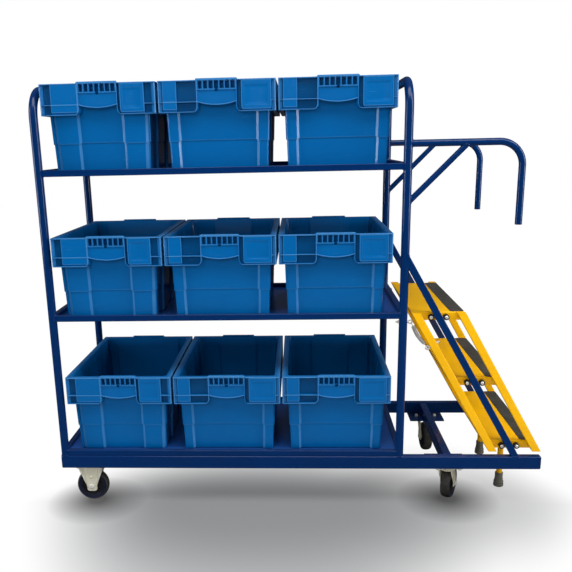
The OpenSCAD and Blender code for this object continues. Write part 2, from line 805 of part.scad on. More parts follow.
module tub(z0, z1, inset, ledge) {
  stepped(z0, z1, inset + pillar_t, ledge);
  intersection() {
    stepped(z0, z1, inset, ledge);
    pillar_boxes(inset);
  }
}

module grip_opening() {
  rise = lip_mid - lip_end;
  r = (pow(grip_w / 2, 2) + rise * rise) / (2 * rise);
  rotate([90, 0, 0]) linear_extrude(height = 8, center = true) difference() {
    translate([-grip_w / 2, bin_h - band_h - 1]) square([grip_w, band_h - lip_end + 1]);
    translate([0, bin_h - lip_mid + r]) circle(r, $fn = 96);
  }
}

module grille() {
  for (i = [-3 : 3]) translate([i * grip_w / 7.4 - slot_w / 2, -bin_t, bin_h - bin_t - 1 - slot_h])
    cube([slot_w, 2 * bin_t, slot_h]);
}

module bin_shape() {
  difference() {
    tub(0, bin_h - bin_t / 2, 0, ledge_z);
    tub(bin_t, bin_h, bin_t, ledge_z + bin_t);
  }
  difference() {
    union() {
      translate([0, 0, bin_h - band_h]) linear_extrude(height = band_h) ring(bin_w, bin_d, bin_t, 10);
      for (s = [-1, 1]) translate([-grip_w / 2, s * (bin_d - bin_t) / 2 - bin_t / 2, bin_h - 10])
        cube([grip_w, bin_t, 10 + grip_rise]);
    }
    for (s = [-1, 1]) translate([0, s * (bin_d - bin_t) / 2, 0]) {
      grip_opening();
      grille();
    }
  }
  translate([0, 0, bin_h - bin_t]) linear_extrude(height = bin_t) difference() {
    rounded(bin_w, bin_d, 10);
    square([neck_w - 2 * pillar_t - 2 * bin_t, neck_d - 2 * pillar_t - 2 * bin_t], center = true);
  }
  for (s = [-1, 1], x = [-grip_w / 2 - 2, grip_w / 2])
    translate([x, s > 0 ? neck_d / 2 - 8 : -bin_d / 2 + 1, bin_h - band_h])
      cube([2, (bin_d - neck_d) / 2 + 7, band_h - 1]);
}

module bin(c, r) color(bin_blue)
  translate([bin_x(c, r), -row_fwd[r], deck_tops[r]])
    rotate([0, 0, c == 0 ? 0 : 180]) bin_shape();

module bin_bottom_left() bin(0, 0);
module bin_bottom_centre() bin(1, 0);
module bin_bottom_right() bin(2, 0);
module bin_middle_left() bin(0, 1);
module bin_middle_centre() bin(1, 1);
module bin_middle_right() bin(2, 1);
module bin_top_left() bin(0, 2);
module bin_top_centre() bin(1, 2);
module bin_top_right() bin(2, 2);

base_rails();
base_cross_tubes();
rail_end_plates();
castor_mounts();
hoop_left();
hoop_right();
shelf_bars_bottom();
shelf_bars_middle();
shelf_bars_top();
deck_bottom();
deck_middle();
deck_top();
handle_front();
handle_rear();
handle_braces();
handle_plugs();
guide_rails();
eye_bolts();
eye_nuts();
spring_front();
spring_rear();
stringers_front();
stringers_rear();
tread_top();
tread_middle();
tread_bottom();
tread_pads();
step_legs();
rubber_feet();
guide_bushes();
bush_bolts();
step_nuts();
step_eyes();
fixed_brackets();
fixed_axles();
swivel_plates();
kingpins();
fork_front();
fork_rear();
axle_front();
axle_rear();
castor_bolts();
castor_nuts();
hub_fl();
hub_rl();
hub_fr();
hub_rr();
tyre_fl();
tyre_rl();
tyre_fr();
tyre_rr();
bin_bottom_left();
bin_bottom_centre();
bin_bottom_right();
bin_middle_left();
bin_middle_centre();
bin_middle_right();
bin_top_left();
bin_top_centre();
bin_top_right();
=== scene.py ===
# %% [markdown]
# # A picking trolley, dressed
# The trolley arrives as a finished set of exact solids: tubes, sheets, wheels and bins, each in its
# own place. This lesson keeps the solids that already look right and gives them a finish, and makes
# new surfaces with numpy for the pieces that need softer edges or finer relief than the solids have.
# Lengths are written in millimetres, as on a workshop drawing, and turned to metres at the end.

# %% Load the trolley
import json
import math
from itertools import product

import bpy
import numpy as np
from mathutils import Matrix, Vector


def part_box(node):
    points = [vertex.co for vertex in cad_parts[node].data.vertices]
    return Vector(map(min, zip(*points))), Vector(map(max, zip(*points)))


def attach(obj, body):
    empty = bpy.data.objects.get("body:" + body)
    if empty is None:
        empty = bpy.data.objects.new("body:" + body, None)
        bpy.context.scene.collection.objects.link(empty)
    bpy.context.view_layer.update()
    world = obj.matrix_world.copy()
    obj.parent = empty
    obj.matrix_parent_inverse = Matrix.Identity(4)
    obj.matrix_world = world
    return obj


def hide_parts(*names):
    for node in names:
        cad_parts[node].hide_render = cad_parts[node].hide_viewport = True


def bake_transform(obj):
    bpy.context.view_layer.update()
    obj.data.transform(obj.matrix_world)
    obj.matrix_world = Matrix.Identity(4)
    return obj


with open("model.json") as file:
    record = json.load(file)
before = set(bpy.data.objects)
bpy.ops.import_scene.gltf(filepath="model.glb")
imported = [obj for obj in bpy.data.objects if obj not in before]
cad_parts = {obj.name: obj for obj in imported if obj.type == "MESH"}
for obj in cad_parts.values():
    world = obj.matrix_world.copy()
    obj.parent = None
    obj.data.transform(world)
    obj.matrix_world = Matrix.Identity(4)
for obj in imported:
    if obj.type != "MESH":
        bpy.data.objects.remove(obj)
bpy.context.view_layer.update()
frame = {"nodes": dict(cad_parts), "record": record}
nodes = frame["nodes"]
scene = bpy.context.scene

# %% [markdown]
# ## From a grid of points to a mesh
# Every new piece is a grid of points: rows run along one parameter and columns along the other.
# Joining each point to its neighbours gives four-sided faces. Blender could build these face by face
# with bmesh, but whole arrays are quicker and the formula stays in view.


# %% Grid helpers
MM, CREASE = 0.001, 38.0
NO_TRIS = np.zeros((0, 3), int)


def grid_quads(rows, cols, wrap_rows=False, wrap_cols=False):
    """Corner numbers of the faces between neighbouring points of a rows by cols grid."""
    r, c = np.meshgrid(np.arange(rows - (not wrap_rows)), np.arange(cols - (not wrap_cols)), indexing="ij")
    r2, c2 = (r + 1) % rows, (c + 1) % cols
    corners = [r * cols + c, r * cols + c2, r2 * cols + c2, r2 * cols + c]
    return np.stack(corners, -1).reshape(-1, 4)


def join(*parts):
    """Several (points, quads, triangles) sets as one, with the corner numbers moved up."""
    points, quads, tris, base = [], [], [], 0
    for p, q, t in parts:
        points.append(p)
        quads.append(q + base)
        tris.append(t + base)
        base += len(p)
    return np.concatenate(points), np.concatenate(quads), np.concatenate(tris)


def make_piece(name, shape, finish, body, hides=(), crease=CREASE, rub=None):
    """One object from a (points in mm, quads, triangles) set, with its finish. It rides on a body, if one
    is named, and stands for the solids that it hides. Edges that turn by more than crease degrees stay
    sharp. Its last argument, one value per point, becomes an attribute that a finish reads as painted
    light: a painted highlight above 0, a painted shade below 0."""
    points, quads, tris = shape
    used, packed = np.unique(np.concatenate([quads.ravel(), tris.ravel()]), return_inverse=True)
    starts = np.concatenate([np.arange(len(quads)) * 4, len(quads) * 4 + np.arange(len(tris)) * 3])
    mesh = bpy.data.meshes.new(name)
    mesh.vertices.add(len(used))
    mesh.vertices.foreach_set("co", (points[used] * MM).astype(np.float32).ravel())
    mesh.loops.add(len(packed))
    mesh.loops.foreach_set("vertex_index", packed.astype(np.int32))
    mesh.polygons.add(len(starts))
    mesh.polygons.foreach_set("loop_start", starts.astype(np.int32))
    mesh.polygons.foreach_set("use_smooth", np.ones(len(starts), bool))
    mesh.update(calc_edges=True)
    mesh.validate()
    mesh.set_sharp_from_angle(angle=math.radians(crease))
    # The values become a point attribute that the bins' finish reads as painted highlight and shade.
    if rub is not None:
        values = mesh.attributes.new("rub", "FLOAT", "POINT").data
        values.foreach_set("value", rub[used].astype(np.float32))
    mesh.materials.append(finish)
    piece = bpy.data.objects.new(name, mesh)
    scene.collection.objects.link(piece)
    if body:
        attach(piece, body)
    for node in hides:
        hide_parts(node)
    return piece


# %% [markdown]
# ## Three ways to use a grid
# A loft joins closed loops, stacked one over the other, and closes its ends with a fan. A walled
# sheet is two grids, an outer and an inner face, joined along every open edge, so holes may be left
# in it simply by leaving faces out. A sweep carries a round or square outline along a path.


# %% Loft, walled sheet and sweep
def full_turn(sides):
    """The angles of a ring's points."""
    return np.linspace(0, 2 * np.pi, sides, endpoint=False)


def stacked(x, y, z):
    """Loops (rows, cols, 3) from grids of x and y and a height for each row or each point."""
    return np.stack([x, y, np.broadcast_to(z, x.shape)], -1)


def round_loops(r, z, turn):
    """Loops round local Z from a radius and a height at each angle."""
    return stacked(r * np.cos(turn), r * np.sin(turn), z)


def loft(loops):
    """Faces between stacked closed loops (rows, cols, 3), and a fan to the middle at either end."""
    rows, cols, _ = loops.shape
    here = np.arange(cols)
    after = (here + 1) % cols
    count, last = rows * cols, (rows - 1) * cols
    points = [loops.reshape(-1, 3), loops[0].mean(0)[None], loops[-1].mean(0)[None]]
    first_fan = np.stack([np.full(cols, count), after, here], -1)
    last_fan = np.stack([np.full(cols, count + 1), last + here, last + after], -1)
    tris = np.concatenate([first_fan, last_fan])
    return np.concatenate(points), grid_quads(rows, cols, wrap_cols=True), tris


def walled(outer, inner, keep):
    """A wall between two grids whose columns close: faces where keep is true, and a strip of wall
    along every edge that has a kept face on one side only."""
    rows, cols, _ = outer.shape
    count = rows * cols
    quads = grid_quads(rows, cols, wrap_cols=True).reshape(rows - 1, cols, 4)[keep]
    r, c = np.meshgrid(np.arange(rows), np.arange(cols), indexing="ij")
    number, right = r * cols + c, r * cols + (c + 1) % cols
    blank = np.zeros((1, cols), bool)
    above, below = np.vstack([keep, blank]), np.vstack([blank, keep])
    strips = []
    for mask, a, b in ((above & ~below, right, number), (below & ~above, number, right)):
        strips.append(np.stack([a[mask], b[mask], b[mask] + count, a[mask] + count], -1))
    left_of = np.roll(keep, 1, axis=1)
    low, high = number[:-1], number[1:]
    for mask, a, b in ((keep & ~left_of, low, high), (left_of & ~keep, high, low)):
        strips.append(np.stack([a[mask], b[mask], b[mask] + count, a[mask] + count], -1))
    points = np.concatenate([outer.reshape(-1, 3), inner.reshape(-1, 3)])
    return points, np.concatenate([quads, quads[:, ::-1] + count] + strips), NO_TRIS


def sweep(path, radius, ref, sides, closed=False):
    """A round tube along a path of points (n, 3): at each point a ring stands square to the path. ref
    is a direction, or one for each point, that is never along the path; the ring starts on its side.
    radius is one number or one for each point. A closed path joins its last ring to its first."""
    ahead = np.roll(path, -1, 0) - np.roll(path, 1, 0) if closed else np.gradient(path, axis=0)
    ahead /= np.linalg.norm(ahead, axis=1, keepdims=True)
    first = np.broadcast_to(np.asarray(ref, float), path.shape)
    first = first - ahead * (first * ahead).sum(1, keepdims=True)
    first /= np.linalg.norm(first, axis=1, keepdims=True)
    second = np.cross(ahead, first)
    turn = full_turn(sides)
    size = np.broadcast_to(np.asarray(radius, float), (len(path),))[:, None, None]
    ring = np.cos(turn)[None, :, None] * first[:, None] + np.sin(turn)[None, :, None] * second[:, None]
    loops = path[:, None] + size * ring
    if closed:
        return loops.reshape(-1, 3), grid_quads(len(path), sides, True, True), NO_TRIS
    return loft(loops)


def turned(profile, sides=48):
    """A turned shape round local Z: profile is (radius, height) points from the bottom to the top."""
    return loft(round_loops(profile[:, :1] * np.ones(sides), profile[:, 1:], full_turn(sides)))


def placed(shape, origin, z_axis=(0, 0, 1), x_axis=(1, 0, 0)):
    """A shape moved so that its local Z and X lie along two directions and its origin at a point."""
    z = np.asarray(z_axis, float) / np.linalg.norm(z_axis)
    x = np.asarray(x_axis, float) - z * (np.asarray(x_axis, float) @ z)
    if np.linalg.norm(x) < 1e-6:
        x = np.array([0.0, 1.0, 0.0])
    x = x / np.linalg.norm(x)
    points, quads, tris = shape
    return points @ np.stack([x, np.cross(z, x), z]) + np.asarray(origin, float), quads, tris


def smooth_step(v):
    """0 below 0, 1 above 1, and a soft S between."""
    v = np.clip(v, 0, 1)
    return v * v * (3 - 2 * v)


def window(v, low, high, soft=1.4):
    """1 between low and high, 0 outside, with an S of the given width on either edge."""
    return smooth_step((v - low) / soft + 0.5) * smooth_step((high - v) / soft + 0.5)


def stations(low, high, edges=(), lines=(), pitch=26.0, soft=1.4):
    """Places for grid lines: four close ones round each relief edge, one on each plain line, and an
    even spread in the open stretches between."""
    edges, lines = np.asarray(edges, float), np.asarray(lines, float)
    close = (edges[:, None] + soft * np.array([-1.2, -0.5, 0.5, 1.2])).ravel()
    fixed = np.sort(np.concatenate([[low, high], close, lines]))
    fixed = fixed[(fixed >= low) & (fixed <= high)]
    gaps = np.diff(fixed)
    extra = [np.linspace(a, a + g, int(g / pitch) + 2)[1:-1] for a, g in zip(fixed, gaps) if g > pitch]
    places = np.unique(np.round(np.concatenate([fixed] + extra), 4))
    return places[np.concatenate([[True], np.diff(places) > 0.12])]


print("grid tools ready")

# %% [markdown]
# ## Shader sums written as sums
# A finish is a small network of nodes. Wired one by one they are hard to read, so a socket is
# wrapped in a class whose + - * / add the Math nodes: `0.4 + 0.1 * grain` reads as it works.


# %% The socket class
class Sock:
    """An output socket. Arithmetic on it adds Math nodes; node() adds any other kind."""

    def __init__(self, tree, socket=None):
        self.tree, self.socket = tree, socket

    def node(self, kind, settings=None, inputs=None, out=0):
        made = self.tree.nodes.new("ShaderNode" + kind)
        for key, value in (settings or {}).items():
            if key == "stops":
                ramp = made.color_ramp
                while len(ramp.elements) < len(value):
                    ramp.elements.new(0.5)
                for stop, (place, colour) in zip(ramp.elements, value):
                    stop.position, stop.color = place, colour
            else:
                setattr(made, key, value)
        for key, value in (inputs or {}).items():
            if isinstance(value, Sock):
                self.tree.links.new(value.socket, made.inputs[key])
            else:
                made.inputs[key].default_value = value
        return Sock(self.tree, made.outputs[out])

    def maths(self, operation, a, b=0.0):
        return self.node("Math", {"operation": operation}, {0: a, 1: b})

    def __add__(self, other):
        return self.maths("ADD", self, other)

    def __radd__(self, other):
        return self.maths("ADD", other, self)

    def __sub__(self, other):
        return self.maths("SUBTRACT", self, other)

    def __rsub__(self, other):
        return self.maths("SUBTRACT", other, self)

    def __mul__(self, other):
        return self.maths("MULTIPLY", self, other)

    def __rmul__(self, other):
        return self.maths("MULTIPLY", other, self)

    def __truediv__(self, other):
        return self.maths("DIVIDE", self, other)

    def clamp(self, low=0.0, high=1.0):
        return self.maths("MINIMUM", self.maths("MAXIMUM", self, low), high)

    def ramp(self, low, high):
        """0 at low, 1 at high, straight between and level outside."""
        return self.node("MapRange", {"clamp": True}, {"Value": self, "From Min": low, "From Max": high})

    def noise(self, place, scale, detail=3.0, rough=0.55):
        """A soft noise from 0 to 1; a greater scale is finer, more detail and roughness more ragged."""
        inputs = {"Vector": place, "Scale": scale, "Detail": detail, "Roughness": rough}
        return self.node("TexNoise", None, inputs)

    def stretch(self, place, scale, turn=(0.0, 0.0, 0.0)):
        """A place scaled along each axis, which draws a pattern out along the smaller scales."""
        return self.node("Mapping", None, {"Vector": place, "Rotation": turn, "Scale": scale})

    def bump(self, strength, distance, height):
        """A normal that follows a pattern of heights, distance metres deep."""
        return self.node("Bump", None, {"Strength": strength, "Distance": distance, "Height": height})

    def mix(self, factor, a, b):
        """Colour a where factor is 0 and b where it is 1."""
        return self.node("Mix", {"data_type": "RGBA"}, {"Factor": factor, 6: a, 7: b}, 2)


def start_finish(name):
    """A new material with a Principled shader: its tree's first socket, the place on the object,
    and the shader's inputs."""
    finish = bpy.data.materials.new(name)
    finish.use_nodes = True
    shader = finish.node_tree.nodes["Principled BSDF"]
    root = Sock(finish.node_tree)
    return finish, root, root.node("TexCoord", out="Object"), shader.inputs


def feed(inputs, **values):
    """Links sockets, or sets plain values, on a shader's inputs; _ in a name stands for a space."""
    for key, value in values.items():
        target = inputs[key.replace("_", " ")]
        if isinstance(value, Sock):
            value.tree.links.new(value.socket, target)
        else:
            target.default_value = value


def rgb(code):
    """A screen colour such as '13639f' as the linear colour that a shader wants."""
    c = np.array([int(code[i:i + 2], 16) for i in (0, 2, 4)]) / 255.0
    lin = np.where(c <= 0.04045, c / 12.92, ((c + 0.055) / 1.055) ** 2.4)
    return (*lin.tolist(), 1.0)


def darker(colour, share):
    """A colour brought down to a share of its brightness."""
    return tuple(share * v for v in colour[:3]) + (1.0,)


print("shader tools ready")

# %% [markdown]
# ## Powder coat
# The frame is steel tube with a baked powder coat. Up close such a coat has a soft orange-peel
# ripple; on a working trolley it also carries dust on its upper faces and pale rub marks. The ripple
# is a fine noise into Bump, the marks are a stretched noise cut off high, mixed into the colour.


# %% Paint finishes
DUST = rgb("a9abb4")


def powder_coat(name, colour, pale, rough, marks, dust, peel=0.12):
    """Paint: colour drifts a little over the piece, rub marks and dust lift it towards pale."""
    finish, s, place, into = start_finish(name)
    drift = s.noise(place, 3.5, 4.0)
    ripple = s.noise(place, 900.0, 2.0) + 0.4 * s.noise(place, 260.0, 2.0)
    streak = s.noise(s.stretch(place, (9.0, 26.0, 140.0)), 1.0, 6.0, 0.7).ramp(0.66, 0.78)
    patch = s.noise(place, 14.0, 5.0, 0.65).ramp(0.52, 0.74)
    wear = (streak * patch * marks).clamp()
    up = s.node("SeparateXYZ", None, {0: s.node("NewGeometry", out="Normal")}, 2).ramp(0.55, 1.0)
    settle = up * (0.35 + 0.65 * s.noise(place, 22.0, 6.0, 0.6)) * dust
    base = s.mix(drift.ramp(0.3, 0.7) * 0.55, colour, darker(colour, 0.72))
    feed(into, Base_Color=s.mix(settle * 0.55, s.mix(wear, base, pale), DUST), Specular_IOR_Level=0.32,
         Roughness=(rough + 0.1 * (drift - 0.5) + 0.22 * settle + 0.2 * wear).clamp(),
         Normal=s.bump(peel, 0.0006, ripple))
    return finish


navy = powder_coat("navy_powder_coat", rgb("01295d"), rgb("3f5a8c"), 0.16, 0.3, 0.06)
deck_navy = powder_coat("deck_gloss_coat", rgb("00448f"), rgb("4c618a"), 0.16, 0.5, 0.08, peel=0.06)
yellow = powder_coat("yellow_powder_coat", rgb("f6b800"), rgb("94782e"), 0.26, 0.22, 0.0)
print("paints:", navy.name, deck_navy.name, yellow.name)

# %% [markdown]
# ## Bin plastic
# The bins are moulded polypropylene: an even blue with a satin grain, a painted highlight along edges,
# a painted shade in recesses, and patches of fine pale scratches. The grain is a fine noise in Bump;
# scratches are thin slices of a noise stretched one way. Where the painted highlight and shade lie comes
# with the shape.


# %% Moulded plastic finishes
def moulded(name, colour, pale, rough, scratch=0.35):
    """Plastic: satin grain, a slow drift of shade, patches of fine pale scratches. A point attribute paints
    light into the colour: above 0 a painted highlight turns it pale, below 0 a painted shade darkens it."""
    finish, s, place, into = start_finish(name)
    cloud = s.noise(place, 5.0, 5.0, 0.6)
    fine = s.noise(place, 1300.0, 2.0)
    across = s.stretch(place, (18.0, 18.0, 420.0), (0.4, 0.3, 0.5))
    thin = s.noise(across, 1.0, 3.0, 0.6).ramp(0.63, 0.7)
    patch = s.noise(place, 11.0, 4.0, 0.7).ramp(0.5, 0.72)
    lines = (thin * patch * scratch).clamp()
    # Painted light from the shape: a painted highlight where the attribute is above 0, a painted shade where
    # it is below 0.
    rub = s.node("Attribute", {"attribute_name": "rub"}, None, "Fac")
    base = s.mix(cloud.ramp(0.3, 0.72) * 0.5, colour, darker(colour, 0.8))
    base = s.mix((rub * -0.6).clamp(), base, darker(colour, 0.28))
    base = s.mix(rub.clamp() * 0.24, base, pale)
    feed(into, Base_Color=s.mix(lines, base, pale), Specular_IOR_Level=0.3,
         Roughness=(rough + 0.16 * (cloud - 0.5) + 0.18 * lines).clamp(),
         Normal=s.bump(0.1, 0.0004, fine + 0.5 * thin * patch))
    return finish


bin_blue = moulded("bin_polypropylene", rgb("005d9f"), rgb("6fb0e2"), 0.2, 0.2)
hub_black = moulded("wheel_hub_polyamide", rgb("24252b"), rgb("55565c"), 0.46)
bush_black = moulded("glide_bush_acetal", rgb("1c1c1e"), rgb("55565a"), 0.38)
plug_navy = moulded("tube_plug_polythene", rgb("0a2c5f"), rgb("4c6594"), 0.48)
print("plastics:", bin_blue.name, hub_black.name, bush_black.name, plug_navy.name)

# %% [markdown]
# ## Plated steel, rubber and grit
# Zinc plate is a bright metal with a clouded, faintly yellow passivation. Rubber is near black with a
# dusty bloom. The tread strips are mineral grit in resin: a coarse speckle that catches the light.


# %% Plate, rubber and grit finishes
GRIME, GRAINS = rgb("5f5a50"), 780.0


def zinc_plate(name, colour, tint, rough):
    """Metal: a spangle of cells shifts the shade, a cloud of tint lies over it, with brush marks."""
    finish, s, place, into = start_finish(name)
    cells = s.node("TexVoronoi", None, {"Vector": place, "Scale": 170.0}, 1)
    shade = s.node("SeparateColor", None, {0: cells}, 0)
    cloud = s.noise(place, 45.0, 5.0, 0.6)
    brush = s.noise(s.stretch(place, (60.0, 60.0, 900.0)), 1.0, 3.0)
    grime = s.noise(place, 30.0, 6.0, 0.7).ramp(0.58, 0.78)
    plate = s.mix(cloud.ramp(0.35, 0.7) * 0.7, colour, tint)
    feed(into, Base_Color=s.mix(grime * 0.45, plate, GRIME), Metallic=0.3 - 0.15 * grime,
         Roughness=(rough + 0.1 * shade + 0.12 * cloud + 0.2 * grime - 0.08).clamp(),
         Normal=s.bump(0.08, 0.0003, brush))
    return finish


def rubber(name, colour, bloom, rough, scale=420.0):
    """Rubber: fine pitting, and a dusty bloom that thickens in patches."""
    finish, s, place, into = start_finish(name)
    cloud = s.noise(place, 26.0, 6.0, 0.65).ramp(0.42, 0.75)
    feed(into, Base_Color=s.mix(cloud * 0.6, colour, bloom),
         Roughness=(rough + 0.2 * (cloud - 0.5)).clamp(),
         Normal=s.bump(0.28, 0.0006, s.noise(place, scale, 4.0, 0.65)))
    return finish


def mineral_grit(name):
    """Grit strip: close-packed grains as a cell pattern, each with its own shade of dark resin, a few
    of them shinier, and paler patches where feet have worn it."""
    finish, s, place, into = start_finish(name)
    edge, cells = (s.node("TexVoronoi", None, {"Vector": place, "Scale": GRAINS}, k) for k in (0, 1))
    tone = s.node("SeparateColor", None, {0: cells}, 0)
    wear_and_painted_highlight = s.noise(place, 16.0, 5.0, 0.6).ramp(0.4, 0.72)
    base = s.mix(tone, rgb("23221f"), rgb("3e3c37"))
    feed(into, Base_Color=s.mix(wear_and_painted_highlight * 0.35, base, rgb("57544b")),
         Roughness=(0.95 - 0.4 * tone.ramp(0.7, 1.0)).clamp(),
         Normal=s.bump(0.75, 0.0009, 1.0 - edge))
    return finish


castor_zinc = zinc_plate("castor_zinc_plate", rgb("e9e7d8"), rgb("ddd6b2"), 0.36)
bright_zinc = zinc_plate("fastener_zinc_plate", rgb("e6e6e2"), rgb("d4d1c0"), 0.28)
spring_steel = zinc_plate("spring_wire", rgb("b9b9b7"), rgb("a8a59b"), 0.3)
tyre_rubber = rubber("tyre_rubber", rgb("2a2928"), rgb("524f48"), 0.62)
foot_rubber = rubber("foot_rubber", rgb("4c4b43"), rgb("747468"), 0.74)
grit = mineral_grit("grit_strip")
print("metals and rubbers:", castor_zinc.name, bright_zinc.name, tyre_rubber.name, grit.name)

# %% Finishes on the solids that stay
STAYS = {
    navy: ["base_rails", "base_cross_tubes", "castor_mounts", "hoop_left", "hoop_right", "shelf_bars_bottom",
           "shelf_bars_middle", "shelf_bars_top", "handle_front", "handle_rear", "handle_braces",
           "guide_rails"],
    deck_navy: ["deck_bottom", "deck_middle", "deck_top"],
    yellow: ["stringers_front", "stringers_rear", "step_legs"],
    bright_zinc: ["eye_bolts", "step_eyes", "kingpins"],
}
for finish, names in STAYS.items():
    for name in names:
        nodes[name].data.materials.clear()
        nodes[name].data.materials.append(finish)
print("solids with a finish:", sum(len(n) for n in STAYS.values()))

# %% [markdown]
# ## Places on the trolley
# The solids say where everything is, so places are read from their boxes. The step unit slides along
# the guide rails, and its joint gives their slope. Sizes that no box tells are written out.


# %% Shared places
def box_mm(node):
    """A solid's lowest and highest corner in millimetres."""
    return [np.array(v) * 1000 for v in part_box(node)]


def middle(node, axis):
    """The middle of a solid's box along one axis."""
    low, high = box_mm(node)
    return (low[axis] + high[axis]) / 2


slide = next(j for j in frame["record"]["behaviour"]["joints"] if j["name"] == "step_slide")
SLOPE = math.atan2(-slide["axis"][2], slide["axis"][0])
XL, XR = middle("hoop_left", 0), middle("hoop_right", 0)
POST_Y = middle("handle_rear", 1)
POST_R = box_mm("hoop_left")[1][0] - XL
RAIL_TOP = box_mm("base_rails")[1][2]
TREADS = ("tread_top", "tread_middle", "tread_bottom")
TREAD_BACK, TREAD_FRONT = 88.0, 104.0
END_Y = box_mm("tread_top")[1][1]
SQUARE_OUT = np.array([math.sin(SLOPE), 0.0, math.cos(SLOPE)])


def guide_x(z):
    """Where the guide rails' axis is at a height: from the upper tread, down the slope."""
    low, high = box_mm("tread_top")
    return low[0] + TREAD_BACK + (high[2] - z) / math.tan(SLOPE)


print("slope:", round(math.degrees(SLOPE), 1), "posts at", round(XL, 1), round(XR, 1), round(POST_Y, 1))

# %% [markdown]
# ## The bins: a drafted tub
# A stacking bin is a tub with a wide rim band hung round its top. The tub's wall leans out a little,
# steps out at a ledge a third of the way up, and stands proud in flat pillars. All of this is one
# loft: closed loops run under the floor, up the outside, over the rim, down the inside and across the
# floor again. Each loop is a rounded rectangle drawn in by a depth that depends on where it is.


# %% Loops round a rounded rectangle
def rounded_loops(half_w, half_l, radius, ends, turn_steps=5):
    """Closed loops round rectangles, anticlockwise from above, starting on the front side. half_w,
    half_l and radius are columns, one value per loop. ends holds the places along the front, right,
    back and left sides, each from -1 to 1. Returns x and y (rows, cols), the outward normal of each
    column, the side of each column (0 to 3, or 4 to 7 for a corner) and its place along that side."""
    a = np.linspace(0, np.pi / 2, turn_steps + 2)[1:-1]
    xs, ys, nx, ny, side, along = [], [], [], [], [], []
    for k in range(4):
        c, s = (1, 0, -1, 0)[k], (0, 1, 0, -1)[k]
        run, reach = (half_w, half_l) if k % 2 == 0 else (half_l, half_w)
        u = np.asarray(ends[k], float)[None, :]
        t = u * (run - radius)
        xs.append(c * t + s * reach)
        ys.append(s * t - c * reach)
        angle = a + (k - 1) * np.pi / 2
        corner_x, corner_y = (1, 1, -1, -1)[k] * (half_w - radius), (-1, 1, 1, -1)[k] * (half_l - radius)
        xs.append(corner_x + radius * np.cos(angle))
        ys.append(corner_y + radius * np.sin(angle))
        flat = np.ones(u.shape[1])
        nx += [s * flat, np.cos(angle)]
        ny += [-c * flat, np.sin(angle)]
        side += [k * flat, (4 + k) * np.ones(len(a))]
        along += [u[0], np.zeros(len(a))]
    cat = lambda parts: np.concatenate(parts, axis=-1)
    return cat(xs), cat(ys), cat(nx), cat(ny), cat(side), cat(along)


def outline_of(half_a, half_b, radius, count=12, turn_steps=5):
    """Points round one rounded rectangle, anticlockwise, as two columns."""
    one = np.ones((1, 1))
    ends = [np.linspace(-1, 1, count)] * 4
    flat = rounded_loops(half_a * one, half_b * one, radius, ends, turn_steps)[:2]
    return flat[0][0], flat[1][0]


# %% The tub
BIN_W, BIN_L, BIN_H, BAND_H = 400.0, 600.0, 300.0, 104.0
NECK, FOOT, WALL = (364.0, 556.0), (346.0, 534.0), 3.0
LEDGE, LEDGE_IN, PROUD, DRAFT = 100.0, 3.0, 7.5, 9.0
END_POSTS, CORNER_POST, SIDE_POSTS = (78.0, 160.0), 135.0, (-155.0, -65.0, 45.0, 135.0)
END_RUN, SIDE_RUN, END_PITCH, SIDE_PITCH, CLOSE = 165.0, 260.0, 24.0, 34.0, 0.9
HEEL_R, FLOOR_R, CORNER_R, RIM_R, RIM_IN = 6.0, 9.0, 13.0, 8.0, 5.6
INNER_SLIM, LOWER_SLIM, DROP, DROP_H = 3.0, 3.5, 4.0, 9.0
PILLAR_TOP, PILLAR_FADE, RIM_TOP, INSIDE_TOP, UNDER = 246.0, 34.0, 298.5, 290.0, 13.5


def tub_rows():
    """The tub's profile as rows of (height, inset, share of the way out to the band, inside or not)."""
    q = np.linspace(0, np.pi / 2, 5)
    near = np.array([-2.4, -1.2, -0.5, 0.5, 1.2, 2.4])
    under = [(2.0, v, 0, 0) for v in (165, 120, 70, 32)]
    under += [(2.0, 27.0, 0, 0), (0.0, 24.5, 0, 0), (0.0, 14.0, 0, 0)]
    heel = [(HEEL_R - HEEL_R * math.cos(v), HEEL_R - HEEL_R * math.sin(v), 0, 0) for v in q]
    up = (20, 48, 76, 92, *(LEDGE + near), 108, 136, 168, 196, 226, 262, 292)
    outside = [(z, 0, 0, 0) for z in up]
    rim = [(295.5, 0, 0.06, 0), (295.5, 0, 0.5, 0), (295.5, 0, 1.0, 0), (299.0, 0, 1.0, 0),
           (299.2, 0, 0.72, 0), (297.2, 0, 0.69, 0), (297.2, 0, 0.36, 0), (299.2, 0, 0.33, 0),
           (299.6, 0, 0.06, 0), (299.6, -1.4, 0, 1), (298.9, -0.5, 0, 1), (297.6, 0.0, 0, 1)]
    down = (290, 262, 226, 196, 168, 136, 111, *(LEDGE + WALL - near), 92, 76, 48, 24)
    inside = [(z, 0, 0, 1) for z in down]
    floor = [(WALL + FLOOR_R - FLOOR_R * math.sin(v), FLOOR_R - FLOOR_R * math.cos(v), 0, 1) for v in q]
    floor += [(WALL, v, 0, 1) for v in (30, 70, 120, 160)]
    return np.array(under + heel + outside + rim + inside + floor, float)


def slope(v, low, high):
    """1 between two places and 0 outside, with a straight drafted wall on either edge."""
    return np.clip((v - low) / DRAFT + 0.5, 0, 1) * np.clip((high - v) / DRAFT + 0.5, 0, 1)


def tub_columns():
    """Places of the columns along the front, right, back and left sides, close round the pillars."""
    draft = np.array([-DRAFT / 2, DRAFT / 2])
    inboard, corner, side = (np.add.outer(v, draft).ravel() for v in (END_POSTS, CORNER_POST, SIDE_POSTS))
    front, back = (stations(-END_RUN, END_RUN, np.concatenate([-v, v]), pitch=END_PITCH, soft=CLOSE)
                   for v in (inboard, corner))
    flank = stations(-SIDE_RUN, SIDE_RUN, side, pitch=SIDE_PITCH, soft=CLOSE) / SIDE_RUN
    return [front / END_RUN, flank, -(back / END_RUN)[::-1], -flank[::-1]]


